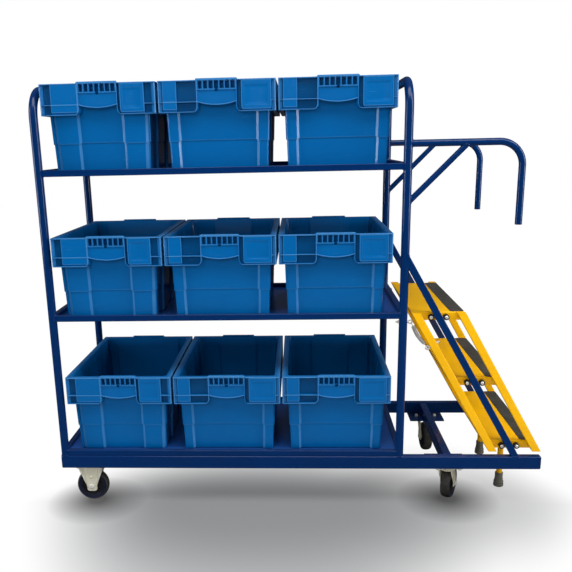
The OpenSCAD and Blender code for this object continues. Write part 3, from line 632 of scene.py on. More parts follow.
def tub_pillars(side, along):
    """How far each column is part of a pillar, and which way along X and Y its wall moves when the
    pillar grows slimmer."""
    place, length = np.abs(along) * END_RUN, np.where(side == 1, along, -along) * SIDE_RUN
    flank = (side == 1) | (side == 3)
    posts = np.maximum(slope(length, *SIDE_POSTS[:2]), slope(length, *SIDE_POSTS[2:]))
    pillar = np.select([side == 0, side == 2, flank, side > 4],
                       [slope(place, *END_POSTS), slope(place, CORNER_POST, 2 * END_RUN), posts, 1.0], 0.0)
    front = np.interp(place, [0, *END_POSTS, END_RUN], [0, 1, -1, 0])
    back = -np.interp(place, [0, CORNER_POST, END_RUN], [0, 1, 0])
    to_x = np.select([side == 0, side == 2], [front, back], 0.0) * np.sign(along)
    to_y = np.interp(length, [-SIDE_RUN, *SIDE_POSTS, SIDE_RUN], [0, 1, -1, 1, -1, 0])
    return pillar[None], to_x, np.where(flank, to_y, 0.0)


def tub_shape():
    """The bin's tub: loops of the profile, drawn in between the pillars and below the ledge. Below the
    ledge and inside, the pillars' walls also move sideways, which makes the pillars slimmer. Returns
    the shape and each point's painted highlight on the ledge, pillar walls and rim, and painted shade
    inside."""
    rows = tub_rows()
    z, inset, out, inner = (rows[:, k:k + 1] for k in range(4))
    share = np.minimum(z, BIN_H) / BIN_H
    half_w, half_l = ((foot + (neck - foot) * share) / 2 for foot, neck in zip(FOOT, NECK))
    half_w = half_w + (BIN_W / 2 - RIM_IN - half_w) * out
    half_l = half_l + (BIN_L / 2 - RIM_IN - half_l) * out
    radius = CORNER_R - (CORNER_R - RIM_R) * out
    x, y, nx, ny, side, along = rounded_loops(half_w, half_l, radius, tub_columns())
    pillar, to_x, to_y = tub_pillars(side, along)
    slim = INNER_SLIM * inner + LOWER_SLIM * (z < LEDGE) * (1 - inner)
    x, y = x + slim * to_x, y + slim * to_y
    ledge = np.where(inner > 0, LEDGE + WALL, LEDGE)
    below = 1 - smooth_step((z - ledge) / 1.0 + 0.5)
    under_band = 1 - smooth_step((z - PILLAR_TOP) / PILLAR_FADE)
    flanks = np.clip(pillar * (1 - pillar) / 0.09, 0, 1) * under_band
    pillar = 1 - (1 - pillar) * under_band
    sunk = (1 - out) * (PROUD * (1 - pillar) + LEDGE_IN * below + WALL * inner) + inset
    drop = DROP * (1 - pillar) * np.exp(-((z - ledge) / DROP_H) ** 2) * (1 - out)
    px = np.where(inset > UNDER, x * (1 - inset / half_w), x - nx * sunk)
    py = np.where(inset > UNDER, y * (1 - inset / half_l), y - ny * sunk)
    # Painted highlight: a pale line along the ledge and on the pillars' drafted walls.
    shelf = 0.5 * np.exp(-((z - ledge - 0.8) / 1.2) ** 2)
    wear_and_painted_highlight = np.maximum(shelf, 0.75 * flanks) * (1 - inner) * (1 - out)
    # Painted highlight on the rim's top, painted shade on the inside walls and floor.
    rub = wear_and_painted_highlight + out * (z > RIM_TOP) - 0.8 * inner * (z < INSIDE_TOP)
    shape = loft(stacked(px, py, np.broadcast_to(z, x.shape) + drop))
    return shape, np.concatenate([rub.ravel(), [0, 0]])


tub, tub_painted_light = tub_shape()
print("tub faces:", len(tub[1]) + len(tub[2]))

# %% [markdown]
# ## The bins: the rim band
# The band is a skirt with thin ribs, flat panels, a framed label panel and, on each end, a hand grip
# under a grille. It is a walled sheet. Relief is a height between 0, the skirt, and 1, the rib tips,
# taken as the greatest of a list of windows. The grip's curved lip is the same rib as the long middle
# one: the grid's rows simply sag there, and the faces below the lip are left out.


# %% Relief of the two ends and the sides
DEPTH, SKIRT, GRIP, RIB, BAND_R = 14.0, 2.6, 66.0, 3.4, 6.0
LIP, SLOT_PITCH, SLOT, SLOT_D = (68.4, 71.6), 18.6, 7.2, (6.0, 29.0)
GRILLE_D, NOTCH, NOTCH_D = 33.5, 4.6, (29.5, 36.5)
OVER, RIM_D, HEM_D = -9.0, 3.6, 100.8
TRIM, FLOOR = 2.6, 0.62
FRONT_PLATES = {"panel": (38, 131), "label": (277, 361), "gap": 9}
BACK_PLATES = {"panel": (16, 64), "label": (283, 385), "gap": 16}
PANEL_D, LABEL_D, CARD_D, CARD_IN = (OVER, 95.0), (3.0, 97.0), (16.0, 85.0), 9.0
FLANK_RIBS = (-232.0, -116.0, 0.0, 116.0, 232.0)


def plate(m, d, wide, tall):
    """A raised plate between two places along the band and two depths, and the trim along its edge."""
    whole = window(m, *wide) * window(d, *tall)
    inside = window(m, wide[0] + TRIM, wide[1] - TRIM) * window(d, tall[0] + TRIM, tall[1] - TRIM)
    return whole, whole - inside


def end_relief(m, d, panel, label, gap):
    """Height of an end's relief, and its painted light: a painted highlight on ribs, trims and grille,
    a painted shade in the open recesses. m runs from the rim's left edge, d down from the rim; gap is the
    width of the open recess beside the label."""
    x = m - BIN_W / 2
    lip, grille = window(d, *LIP), window(d, OVER, GRILLE_D)
    rib = lip * (1 - window(m, label[0] - gap, label[1]))
    sides = np.maximum(window(x, -GRIP - RIB, -GRIP), window(x, GRIP, GRIP + RIB))
    flat, flat_trim = plate(m, d, panel, PANEL_D)
    board, board_trim = plate(m, d, label, LABEL_D)
    card, card_trim = plate(m, d, (label[0] + CARD_IN, label[1] - CARD_IN), CARD_D)
    open_runs = ((BAND_R, panel[0]), (panel[1], BIN_W / 2 - GRIP - RIB),
                 (label[0] - gap, label[0]), (label[1], BIN_W - BAND_R))
    deep = np.maximum.reduce([window(m, *v) for v in open_runs])
    plates = [0.92 * flat, 0.93 * board - 0.1 * card, 0.9 * card_trim]
    high = np.maximum.reduce([rib, *plates, FLOOR * (1 - deep), sides])
    # Painted highlight: pale ribs, grip sides and plate trims.
    rub = np.maximum.reduce([rib, sides, 0.1 * card_trim, 0.7 * flat_trim, 0.8 * board_trim])
    # Painted shade: darker in the open recesses, except on the rib that crosses them.
    rub = rub - deep * (1 - rib)
    notch = window(x, -NOTCH, NOTCH) * window(d, *NOTCH_D) * (d > SLOT_D[1])
    hand = np.maximum(np.maximum(grille, lip), 0.72) - 0.7 * notch
    # Painted highlight on the grip's lip and grille, strongest on the grille's top bar.
    hand_painted_light = np.maximum(lip, (0.35 + 0.5 * (d < SLOT_D[0])) * grille) * (1 - notch)
    grip = window(x, -GRIP, GRIP) > 0.5
    return np.where(grip, hand, high), np.where(grip, hand_painted_light, rub)


def band_relief(side, x, y, d):
    """Height of the band's relief all round and its painted light, the end with inboard pillars first."""
    ribs = np.maximum.reduce([window(y, c - RIB / 2, c + RIB / 2) for c in FLANK_RIBS])
    flank = np.maximum(ribs, window(d, *LIP))
    front = end_relief(x + BIN_W / 2, d, **FRONT_PLATES)
    back = end_relief(BIN_W / 2 - x, d, **BACK_PLATES)
    edge = np.maximum(window(d, OVER, RIM_D), window(d, HEM_D, 2 * BAND_H))
    layers = [np.where(side == 0, f, np.where(side == 2, b, np.where(side > 3, 1.0, flank)))
              for f, b in zip(front, back)]
    # Painted highlight along the rim's top edge and along the hem.
    return np.maximum(layers[0], edge), layers[1] * (1 - edge) + 0.9 * edge


# %% The band
LINE, HEM_R, INNER_R, FLARE = 0.7, 1.2, 1.2, 19.0
SAG, SAG_D, LIFT, LIFT_D, HOLE_D = 10.0, (36.0, 68.0, 72.0, 98.0), 5.0, 34.0, 72.4


def end_stations(plates):
    """Places along an end: close lines round the plates' edges, the trims, the grip and the slots."""
    panel, label = (np.array(plates[k], float) - BIN_W / 2 for k in ("panel", "label"))
    card = label + (CARD_IN, -CARD_IN)
    grip = [-GRIP - RIB, -GRIP, GRIP, GRIP + RIB, -NOTCH, NOTCH]
    trims = np.concatenate([v + (TRIM, -TRIM) for v in (panel, label, card)])
    slots = np.add.outer(SLOT_PITCH * np.arange(-3, 4), [-SLOT, SLOT]).ravel()
    lines = np.concatenate([trims - LINE, trims + LINE, slots])
    run = BIN_W / 2 - BAND_R
    return stations(-run, run, np.concatenate([panel, label, card, grip]), lines, 30) / run


def band_depths():
    """Depths of the band's rows from the hem up to the rim, close round every edge of the relief."""
    trims = np.array([PANEL_D[1] - TRIM, LABEL_D[0] + TRIM, LABEL_D[1] - TRIM,
                      CARD_D[0] + TRIM, CARD_D[1] - TRIM])
    rims = [0.35, 1.2, *SLOT_D, 100.1, 101.5, 102.8, 103.65]
    edges = [RIM_D, *CARD_D, GRILLE_D, NOTCH_D[1], *LIP, PANEL_D[1], LABEL_D[1]]
    lines = np.concatenate([trims - LINE, trims + LINE, rims])
    return stations(0, BAND_H, edges, lines, 14)[::-1][:, None]


def band_shape():
    """The rim band: a skirt whose outer face carries the relief, open at the grilles and grips. Returns
    the shape and each point's painted light."""
    run = BIN_L / 2 - BAND_R
    flank = stations(-run, run, np.add.outer(FLANK_RIBS, [-RIB / 2, RIB / 2]).ravel(), (), 40) / run
    ends = [end_stations(FRONT_PLATES), flank, end_stations(BACK_PLATES), -flank[::-1]]
    d = band_depths()
    half_w, half_l = np.full(d.shape, BIN_W / 2), np.full(d.shape, BIN_L / 2)
    x, y, nx, ny, side = rounded_loops(half_w, half_l, BAND_R, ends)[:5]
    thick = DEPTH + SKIRT
    qx, qy = rounded_loops(half_w - thick, half_l - thick, INNER_R, ends)[:2]
    at_end = (side == 0) | (side == 2)
    high, rub = band_relief(side, x, y, d)
    to_edge = np.maximum(HEM_R - np.minimum(d, BAND_H - d), 0)
    round_off = HEM_R - np.sqrt(np.maximum(HEM_R ** 2 - to_edge ** 2, 0))
    depth = DEPTH * (1 - high) + round_off
    sag = SAG * np.clip(1 - (x / GRIP) ** 2, 0, 1) * at_end * np.interp(d, SAG_D, [0, 1, 1, 0])
    lift = LIFT * at_end * window(x, -GRIP - 4, GRIP + 4, 3.0) * np.clip(1 - d / LIFT_D, 0, 1)
    low = np.clip(d - (BAND_H - FLARE), 0, FLARE)
    near = np.interp(np.abs(x), [GRIP - 4, GRIP - 2, GRIP + RIB, GRIP + 34], [0, 1, 1, 0])
    shift = np.sign(x) * (FLARE - np.sqrt(FLARE ** 2 - low ** 2)) * at_end * near
    z = BIN_H - d - sag + lift
    outer = stacked(x - nx * depth + shift, y - ny * depth, z)
    inner = stacked(qx + shift, qy, z)
    mid_x = (x + np.roll(x, -1, 1))[:-1] / 2
    mid_d = np.broadcast_to((d[:-1] + d[1:]) / 2, mid_x.shape)
    to_slot = np.abs((mid_x + SLOT_PITCH * 3.5) % SLOT_PITCH - SLOT_PITCH / 2)
    slot = (to_slot < SLOT) & (mid_d > SLOT_D[0]) & (mid_d < SLOT_D[1])
    hole = (slot | (mid_d > HOLE_D)) & (np.abs(mid_x) < GRIP) & (at_end & np.roll(at_end, -1))
    return walled(outer, inner, ~hole), np.concatenate([rub.ravel(), 0 * rub.ravel()])


band, band_painted_light = band_shape()
print("band faces:", len(band[1]))

# %% Nine bins in their trays
BIN_CREASE = 50.0
bin_points, bin_quads, bin_tris = join(tub, band)
# Painted highlight and shade for every point of a bin.
bin_painted_light = np.concatenate([tub_painted_light, band_painted_light])
bins = []
for node in sorted(n for n in nodes if n.startswith("bin_")):
    spin = 1.0 if node.endswith("left") else -1.0
    seat = np.array([middle(node, 0), middle(node, 1), box_mm(node)[0][2]])
    shape = (bin_points * np.array([spin, spin, 1.0]) + seat, bin_quads, bin_tris)
    piece = make_piece("moulded_" + node, shape, bin_blue, node, [node], BIN_CREASE, bin_painted_light)
    bins.append(piece)
print("bins:", len(bins), "faces each:", len(bins[0].data.polygons))

# %% [markdown]
# ## Rounded profiles
# Turned and pressed pieces start as a few corner points. Cutting each corner with a short curve gives
# the soft edge that a mould, a die or a coat of paint leaves, and the light then runs along it.


# %% Profile helpers
MOST_CUT = 0.48
PRESSED = ((0.0, 0.0), (0.7, 0.25), (1.6, 0.8), (2.4, 1.0))
HEX_ROWS = (0, 0.1, 0.72, 0.82, 0.91, 0.97, 1.0)


def softened(corners, cut, closed=False, steps=4):
    """A polygon with every corner replaced by a curve: it leaves the edge a distance cut before the
    corner, is pulled to the corner like a parabola, and joins the next edge as far after it."""
    c = np.asarray(corners, float)
    ways = np.roll(c, 1, 0) - c, np.roll(c, -1, 0) - c
    a, b = (c + v * np.minimum(cut / np.linalg.norm(v, axis=1, keepdims=True), MOST_CUT) for v in ways)
    t = np.linspace(0, 1, steps)[None, :, None]
    curve = (1 - t) ** 2 * a[:, None] + 2 * t * (1 - t) * c[:, None] + t ** 2 * b[:, None]
    points = curve.reshape(-1, 2)
    return points if closed else np.concatenate([c[:1], points[steps:-steps], c[-1:]])


def ring_turned(profile, sides=72, relief=None):
    """A ring round local Z from a closed profile of (radius, height) points, anticlockwise. relief, if
    given, takes the radii, heights and angles and returns a height to add."""
    turn = full_turn(sides)[None]
    r, z = (np.repeat(profile[:, k:k + 1], sides, 1) for k in (0, 1))
    if relief is not None:
        z = z + relief(r, z, turn)
    return round_loops(r, z, turn).reshape(-1, 3), grid_quads(len(profile), sides, True, True), NO_TRIS


def pressed_plate(outline, thick, panel=None, edge=0.7):
    """A plate from an anticlockwise outline in local XY, thick along Z, with softened edges. panel, if
    given, is (inset, height): a raised middle, pressed from the sheet."""
    ahead = np.roll(outline, -1, 0) - np.roll(outline, 1, 0)
    normal = np.stack([ahead[:, 1], -ahead[:, 0]], 1) / np.linalg.norm(ahead, axis=1, keepdims=True)
    rows = [(edge * 1.6, 0), (edge * 0.4, edge * 0.25), (0, edge), (0, thick - edge),
            (edge * 0.4, thick - edge * 0.25), (edge * 1.6, thick)]
    if panel is not None:
        rows += [(panel[0] + more, thick + panel[1] * share) for more, share in PRESSED]
    loops = [np.column_stack([outline - normal * inset, np.full(len(outline), z)]) for inset, z in rows]
    return loft(np.stack(loops))


def six_sided(turn):
    """The cosine of each angle from the middle of its side of a hexagon."""
    return np.cos((turn + np.pi / 6) % (np.pi / 3) - np.pi / 6)


def hex_head(flats, height, sides=48):
    """A bolt head or nut: at each angle the radius is the smaller of the six flats and a steep cone
    that takes the corners off at the top."""
    turn = full_turn(sides)[None]
    z = np.array(HEX_ROWS)[:, None] * height
    cone = flats / 2 * 0.9 + (height - z) * 1.8
    r = np.minimum(flats / 2 / six_sided(turn), cone) * np.where(z < 0.05 * height, 0.97, 1.0)
    return loft(round_loops(r, z, turn))


def screw_end(radius, length, pitch=1.25, sides=20):
    """The threaded end of a bolt: crests and roots a pitch apart, and a chamfered tip."""
    z = np.arange(0, length - 0.8, pitch / 2)
    r = radius - 0.09 * radius * (np.arange(len(z)) % 2)
    tip = [(radius * 0.9, length - 0.6), (radius * 0.78, length)]
    return turned(np.concatenate([np.column_stack([r, z]), tip]), sides)


print("profile tools ready")

# %% [markdown]
# ## Springs
# Each step spring is a wound extension spring. At rest it is slack enough to bow a little, and a hook
# at either end goes round the wire of an eye bolt. When somebody stands on the step the lower hook
# moves away with it.

# %% Springs
WIRE, COIL, CURLS, LEAD, STEEP, BOW = 2.2, 6.2, 24, 3.3, 4.2, 5.0
EYE_R, EYE_WIRE, EYE_SEAT = 6.5, 2.5, 10.5
EYE_Z, HOOK_Z, GUIDE, STRINGER = 720.0, 634.0, 25.0, 27.0
HALF_RUN = STRINGER / math.sin(SLOPE) / 2
STRINGER_X = (HALF_RUN - TREAD_BACK, TREAD_FRONT - HALF_RUN)


def hook(ring_wire, ahead, across, side):
    """A hook's path in the plane of ahead and across, and its reference direction: an open circle
    round the eye's wire, then a short curve that joins the spring's axis."""
    reach = EYE_WIRE + WIRE / 2 + 0.3
    a = np.radians(np.linspace(318, 52, 22))
    circle = reach * np.column_stack([np.cos(a), np.sin(a)])
    leave = np.array([math.sin(a[-1]), -math.cos(a[-1])])
    end = np.array([EYE_WIRE + LEAD, 0.0])
    t = np.linspace(0, 1, 9)[1:-1, None]
    p = [circle[-1], circle[-1] + 1.5 * leave, end - (1.3, 0), end]
    bend = (1 - t) ** 3 * p[0] + 3 * t * (1 - t) ** 2 * p[1] + 3 * t ** 2 * (1 - t) * p[2] + t ** 3 * p[3]
    flat = np.concatenate([circle, bend])
    return ring_wire + flat[:, :1] * ahead + flat[:, 1:] * across, np.repeat(side[None], len(flat), 0)


def spring_path(y):
    """The wire's path and reference directions. Along the spring, curl number k turns the wire once a
    curl; its radius swells from nothing over the first curl and back over the last, and the spring's
    axis bows sideways by a squared sine."""
    eye_a = np.array([XR + POST_R + EYE_SEAT, y, EYE_Z])
    seat_b = np.array([guide_x(HOOK_Z) + STRINGER_X[0], y, HOOK_Z])
    eye_b = seat_b - (STRINGER / 2 + EYE_SEAT) * SQUARE_OUT
    span = np.linalg.norm(eye_b - eye_a)
    ahead = (eye_b - eye_a) / span
    across = np.array([0.0, 1.0, 0.0])
    side = np.array([-ahead[2], 0.0, ahead[0]])
    length = span - 2 * (EYE_R + EYE_WIRE)
    turns = CURLS + 2
    k = np.linspace(0, turns, turns * 28 + 1)
    c = np.minimum(np.minimum(k, turns - k), 1)
    pitch = (length - 2 * LEAD) / (CURLS + STEEP + 1)
    rise = (STEEP * c - (STEEP - 1) * c * c / 2) * pitch
    even = ((STEEP + 1) / 2 + k - 1) * pitch
    s = LEAD + np.where(k < 1, rise, np.where(k > turns - 1, length - 2 * LEAD - rise, even))
    radius = COIL * c * c * (3 - 2 * c)
    out = np.cos(2 * np.pi * k)[:, None] * side + np.sin(2 * np.pi * k)[:, None] * across
    start = eye_a + (EYE_R + EYE_WIRE) * ahead
    bow = -BOW * np.sin(np.pi * s / length) ** 2
    coil = start + s[:, None] * ahead + bow[:, None] * side + radius[:, None] * out
    first, first_ref = hook(eye_a + EYE_R * ahead, ahead, across, side)
    last, last_ref = hook(eye_b - EYE_R * ahead, -ahead, across, side)
    path = np.concatenate([first, coil, last[::-1]])
    hooked = EYE_R + EYE_WIRE + LEAD
    refs = np.concatenate([first_ref, out, last_ref[::-1]])
    return path, refs, start + LEAD * ahead, eye_b - hooked * ahead


for node, y in (("spring_front", -POST_Y), ("spring_rear", POST_Y)):
    path, refs, first_end, last_end = spring_path(y)
    wire = sweep(path, WIRE / 2, refs, 10)
    piece = make_piece("wound_" + node, wire, spring_steel, None, [node])
    tuple(first_end * MM)
    tuple(last_end * MM)
    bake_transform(piece)
print("spring wire:", round(float(np.linalg.norm(np.diff(path, axis=0), axis=1).sum())), "mm each")

# %% [markdown]
# ## Treads and grit strips
# A tread is one sheet with all four edges folded down. The press leaves a bend of a few millimetres
# along each edge, which is what catches the light. The profile runs from the middle of the underside,
# down the inside of the skirt, round its lower edge, up the outside and over the bend to the top.


# %% Treads
SHEET, BEND, OPEN_IN, FLAT_IN = 3.0, 4.5, 40.0, 8.0
PAD_W, PAD_EDGE, PAD_T, PAD_R, PAD_SHORT = 50.0, 1.5, 1.2, 12.0, 5.0


def folded_tray(half_w, half_l, depth, lean):
    """A tray upside down at the origin: loops round a rectangle, drawn in along the profile. With
    depth the back edge leans forward by lean a millimetre, and the ends follow in proportion."""
    q = np.linspace(0, np.pi / 2, 6)
    inner = BEND - SHEET
    rows = [(OPEN_IN, -SHEET), (BEND + FLAT_IN, -SHEET)]
    rows += [(BEND - inner * math.sin(a), -BEND + inner * math.cos(a)) for a in q]
    rows += [(SHEET, -depth + 1), (SHEET - 0.5, -depth + 0.1), (0.5, -depth), (0, -depth + 0.6)]
    rows += [(0, -BEND - 6)]
    rows += [(BEND - BEND * math.cos(a), -BEND + BEND * math.sin(a)) for a in q]
    rows += [(BEND + FLAT_IN, 0), (OPEN_IN, 0)]
    inset, z = np.hsplit(np.array(rows, float), 2)
    ends = [np.linspace(-1, 1, 9), np.linspace(-1, 1, 21)] * 2
    x, y = rounded_loops(half_w - inset, half_l - inset, np.maximum(BEND - inset, 0.4), ends)[:2]
    return loft(stacked(x - z * lean * (half_w - x) / (2 * half_w), y, z))


def grit_pad():
    """A strip with round corners: loops round a rectangle, drawn in over a softened rim."""
    rows = [(1.2, 0), (0, 0.15), (0, 0.85), (0.35, 1.1), (1.2, PAD_T), (PAD_R, PAD_T)]
    inset, z = np.hsplit(np.array(rows, float), 2)
    ends = [np.linspace(-1, 1, 9), np.linspace(-1, 1, 61)] * 2
    radius = np.maximum(PAD_R - inset, 0.5)
    x, y = rounded_loops(PAD_W / 2 - inset, END_Y - PAD_SHORT - inset, radius, ends, 8)[:2]
    return loft(stacked(x, y, z))


pads = []
for node in TREADS:
    low, high = box_mm(node)
    half = (high - low) / 2
    tray = folded_tray(half[0], half[1], high[2] - low[2], 1 / math.tan(SLOPE))
    tray = placed(tray, [middle(node, 0), 0, high[2]])
    make_piece("folded_" + node, tray, yellow, "step_unit", [node])
    pads.append(placed(grit_pad(), [high[0] - PAD_W / 2 - PAD_EDGE, 0, high[2]]))
make_piece("grit_strips", join(*pads), grit, "step_unit", ["tread_pads"])
print("treads:", len(TREADS), "strips:", len(pads))

# %% [markdown]
# ## Bushes, button bolts and rubber feet
# The step unit runs along the guide rails on turned plastic bushes, each held by a button-head bolt
# with a hexagon socket. Its legs end in moulded ferrules with a flared sole.

# %% Bushes and their bolts
BUSH_R, BUSH_L, BUSH_DROP, BUSH_GAP, SEAT, BOLT_R = 10.5, 17.0, 17.0, 0.4, 0.7, 4.0
BUSH_X = (GUIDE / 2 + BUSH_GAP + BUSH_R) / math.sin(SLOPE)
BUTTON, SMALL_NUT, BIG_NUT = (6.4, 4.6, 2.5), (10.0, 5.0), (13.0, 6.5)
DOME, NECKED = 1.05, BUSH_R - 0.8


def button_head(radius, height, socket):
    """A domed head with a six-sided socket: the dome is an arc, and the socket's rows use the radius of
    a hexagon instead of a circle."""
    turn = full_turn(48)[None]
    rows = [(radius, 0, 0)]
    rows += [(radius * math.cos(v), 1.0 + (height - 1.0) * math.sin(v) / math.sin(DOME), 0)
             for v in np.linspace(0.0, DOME, 8)]
    rows += [(socket + 0.5, height, 0), (socket, height - 0.3, 1), (socket, height - 2.4, 1)]
    r, z, share = np.hsplit(np.array(rows), 3)
    six = np.cos(np.pi / 6) / six_sided(turn)
    return loft(round_loops(r * (1 - share + share * six), z, turn))


bush_corners = [(8, 0), (BUSH_R, 0), (BUSH_R, BUSH_L - 4), (NECKED, BUSH_L - 3), (NECKED, BUSH_L - 2),
                (BUSH_R, BUSH_L - 1.2), (BUSH_R, BUSH_L), (8.2, BUSH_L), (7.6, BUSH_L - SEAT),
                (5, BUSH_L - SEAT)]
bush = turned(softened(bush_corners, 0.6), 56)
bushes, bolts, step_nuts = [], [], []
for node, s, e in product(TREADS, (-1, 1), (-1, 1)):
    z = box_mm(node)[1][2] - BUSH_DROP
    spot = np.array([guide_x(z) + s * BUSH_X, e * END_Y, z])
    out = np.array([0.0, e, 0.0])
    bushes.append(placed(bush, spot, out))
    bolts.append(placed(button_head(*BUTTON), spot + out * (BUSH_L - SEAT), out))
    bolts.append(placed(screw_end(BOLT_R, BUSH_L + 12), spot + out * BUSH_L, -out))
    step_nuts.append(placed(hex_head(*BIG_NUT), spot - out * 3, -out))
for e in (-1, 1):
    spot = np.array([guide_x(HOOK_Z) + STRINGER_X[0], e * POST_Y, HOOK_Z])
    step_nuts.append(placed(hex_head(*SMALL_NUT), spot + SQUARE_OUT * STRINGER / 2, SQUARE_OUT))
post_nuts = [placed(hex_head(*SMALL_NUT), (XR - POST_R, e * POST_Y, EYE_Z), (-1, 0, 0)) for e in (-1, 1)]
for name, shapes, finish, slot, body, node in (
        ("turned_bushes", bushes, bush_black, "bush_plastic", "step_unit", "guide_bushes"),
        ("button_bolts", bolts, bright_zinc, "zinc_steel", "step_unit", "bush_bolts"),
        ("step_hex_nuts", step_nuts, bright_zinc, "zinc_steel", "step_unit", "step_nuts"),
        ("post_hex_nuts", post_nuts, bright_zinc, "zinc_steel", "frame", "eye_nuts")):
    make_piece(name, join(*shapes), finish, body, [node])
print("bushes:", len(bushes), "nuts:", len(step_nuts) + len(post_nuts))

# %% Rubber feet
FERRULE = np.array([(0.6, 0), (0.95, 0), (1, 0.04), (1, 0.17), (0.93, 0.2), (0.93, 0.27), (0.985, 0.3),
                    (0.96, 0.36), (0.87, 0.4), (0.76, 0.69), (0.78, 0.73), (0.78, 0.97), (0.73, 1),
                    (0.57, 1), (0.57, 0.9)])
FOOT_RIB, FOOT_RIB_PITCH, FOOT_RIBBED = 0.28, 3.4, (0.42, 0.68)
low, high = box_mm("rubber_feet")
FOOT_R, FOOT_H = (high[0] - low[0]) / 2, high[2] - low[2]
profile = softened(FERRULE * (FOOT_R, FOOT_H), 1.0)
ribbed = window(profile[:, 1], FOOT_RIBBED[0] * FOOT_H, FOOT_RIBBED[1] * FOOT_H, 3)
ribs = FOOT_RIB * ribbed * np.cos(profile[:, 1] * 2 * np.pi / FOOT_RIB_PITCH)
foot = turned(np.column_stack([profile[:, 0] + ribs, profile[:, 1]]), 64)
spots = [(middle("rubber_feet", 0), e * (high[1] - FOOT_R), low[2]) for e in (-1, 1)]
feet = join(*[placed(foot, p) for p in spots])
make_piece("ribbed_feet", feet, foot_rubber, "step_unit", ["rubber_feet"])
print("feet at", np.round(spots, 1).tolist())

# %% [markdown]
# ## Wheels
# A wheel is a moulded body with a dished web and ribs, a rubber tyre, and between them a ring of dark
# blue elastic rubber that shows as a thin line on each side. All three are turned round the axle. The
# right wheels stand turned with their forks.

# %% Wheels
TYRE_IN, TYRE_R, FACE, HUB_BORE = 47.0, 62.5, 18.0, 6.05
TYRE_SIDES, HUB_SIDES, WEB_RIB = 96, 128, 3.6
REST = {-1: math.radians(64), 1: math.radians(-86)}
half_tyre = [(TYRE_R, 4), (60.8, FACE - 6), (58.2, FACE - 1.2), (57, FACE), (TYRE_IN + 8.6, FACE),
             (TYRE_IN + 7.6, FACE - 1.4)]
half_elastic = [(TYRE_IN + 8, FACE - 0.7), (TYRE_IN - 0.6, FACE - 2.4)]
half_hub = [(TYRE_IN, FACE - 3), (TYRE_IN - 4, FACE - 3), (TYRE_IN - 7, FACE - 5.5), (TYRE_IN - 8, 7.5),
            (38, 6.5), (30, 6.5), (22, 7.5), (15.5, 9), (14, 12), (14, FACE + 2), (HUB_BORE, FACE + 2)]


def both_halves(half):
    """A closed (radius, height) profile from its upper half: the half turned over, then the half."""
    return np.array([(r, -z) for r, z in half[::-1]] + half)


def web_ribs(r, z, turn):
    """Eight ribs on either side of the web: highest where the cosine of eight turns peaks."""
    rib = smooth_step((np.cos(8 * turn) - 0.72) / 0.16)
    return np.sign(z) * WEB_RIB * rib * window(r, 15.5, 38.6, 1.5) * (np.abs(z) < 9.5)


elastic = rubber("elastic_ring_rubber", rgb("10183a"), rgb("1f253c"), 0.6, 300.0)
tyre_profile = softened(both_halves(half_tyre), 2.0, True, 5)
elastic_profile = softened(both_halves(half_elastic), 0.8, True)
hub_profile = softened(both_halves(half_hub), 1.4, True)
wheel_parts = (("tyre", ring_turned(tyre_profile, TYRE_SIDES), tyre_rubber, "tyre"),
               ("elastic", ring_turned(elastic_profile, TYRE_SIDES), elastic, "tyre"),
               ("hub", ring_turned(hub_profile, HUB_SIDES, web_ribs), hub_black, "hub_plastic"))
for end, turn in (("fl", 0.0), ("rl", 0.0), ("fr", REST[-1]), ("rr", REST[1])):
    centre = [middle("tyre_" + end, k) for k in range(3)]
    axle = (-math.sin(turn), math.cos(turn), 0.0)
    for name, shape, finish, slot in wheel_parts:
        node = name + "_" + end
        hides = [node] if node in nodes else []
        make_piece("moulded_" + node, placed(shape, centre, axle), finish, "wheel_" + end, hides)
print("wheel faces:", len(hub_profile) * HUB_SIDES, len(tyre_profile) * TYRE_SIDES)

# %% [markdown]
# ## Castor brackets and forks
# The brackets are pressed from plate. A fixed bracket has two cheeks whose middle is pushed out, so
# that two folded wings run down its sides; a swivel fork hangs from a crown under a ball race. Flat
# outlines with softened corners, given a thickness, make the cheeks, and the rest is turned.

# %% Castor brackets and forks
PLATE_Z, RAIL_Z, CHEEK_Y, CHEEK_T, AXLE_Z, TRAIL = 146.0, 150.0, 21.0, 3.5, 62.5, 36.0
PLATE, PLATE_R, RIVET_Z = (105.0, 85.0), 8.0, 103.0
CROWN_Z, CROWN_TOP, CROWN_BORE = 131.0, 137.5, 6.05
RACE_Z, RACE_R, RACE_BORE = 137.9, 31.0, 6.0
CHEEK_END, CHEEK_TOP, CUT = 19.4, 48.0, 6.5
PUSHED, GROOVE, WING, FOLD, FOLD_W, FOLD_RUN = 3.0, 2.2, 2.6, 0.8, 7.0, 4.5
FORK_CUT, FORK_PANEL = 7.0, (2.2, 0.5)
FIXED_X, SWIVEL_X, CASTOR_Y = middle("tyre_fl", 0), middle("swivel_plates", 0), middle("tyre_rl", 1)
SWIVELS = ((-1, "front"), (1, "rear"))
fork_corners = [(-22, CROWN_TOP - 0.3), (-20, CROWN_Z - 8), (TRAIL - 18, AXLE_Z + 6),
                (TRAIL - 17, AXLE_Z - 15), (TRAIL + 17, AXLE_Z - 15), (TRAIL + 18, AXLE_Z + 8),
                (34, CROWN_Z - 12), (22, CROWN_TOP - 0.3)]
crown_corners = [(CROWN_BORE, CROWN_Z), (28, CROWN_Z), (RACE_R, CROWN_Z + 2), (RACE_R, CROWN_TOP - 0.6),
                 (25, CROWN_TOP), (23.5, CROWN_TOP - 1), (21, CROWN_TOP), (CROWN_BORE, CROWN_TOP)]
race_corners = [(RACE_BORE, RACE_Z), (26, RACE_Z), (RACE_R, 139.6), (RACE_R, 143.4), (28.5, PLATE_Z + 0.5),
                (RACE_BORE, PLATE_Z + 0.5)]


def top_plate():
    """A rounded rectangular plate with softened edges, under the rails."""
    flat = np.column_stack(outline_of(PLATE[0] / 2, PLATE[1] / 2, PLATE_R, 7, 7))
    return placed(pressed_plate(flat, RAIL_Z - PLATE_Z), (0, 0, PLATE_Z))


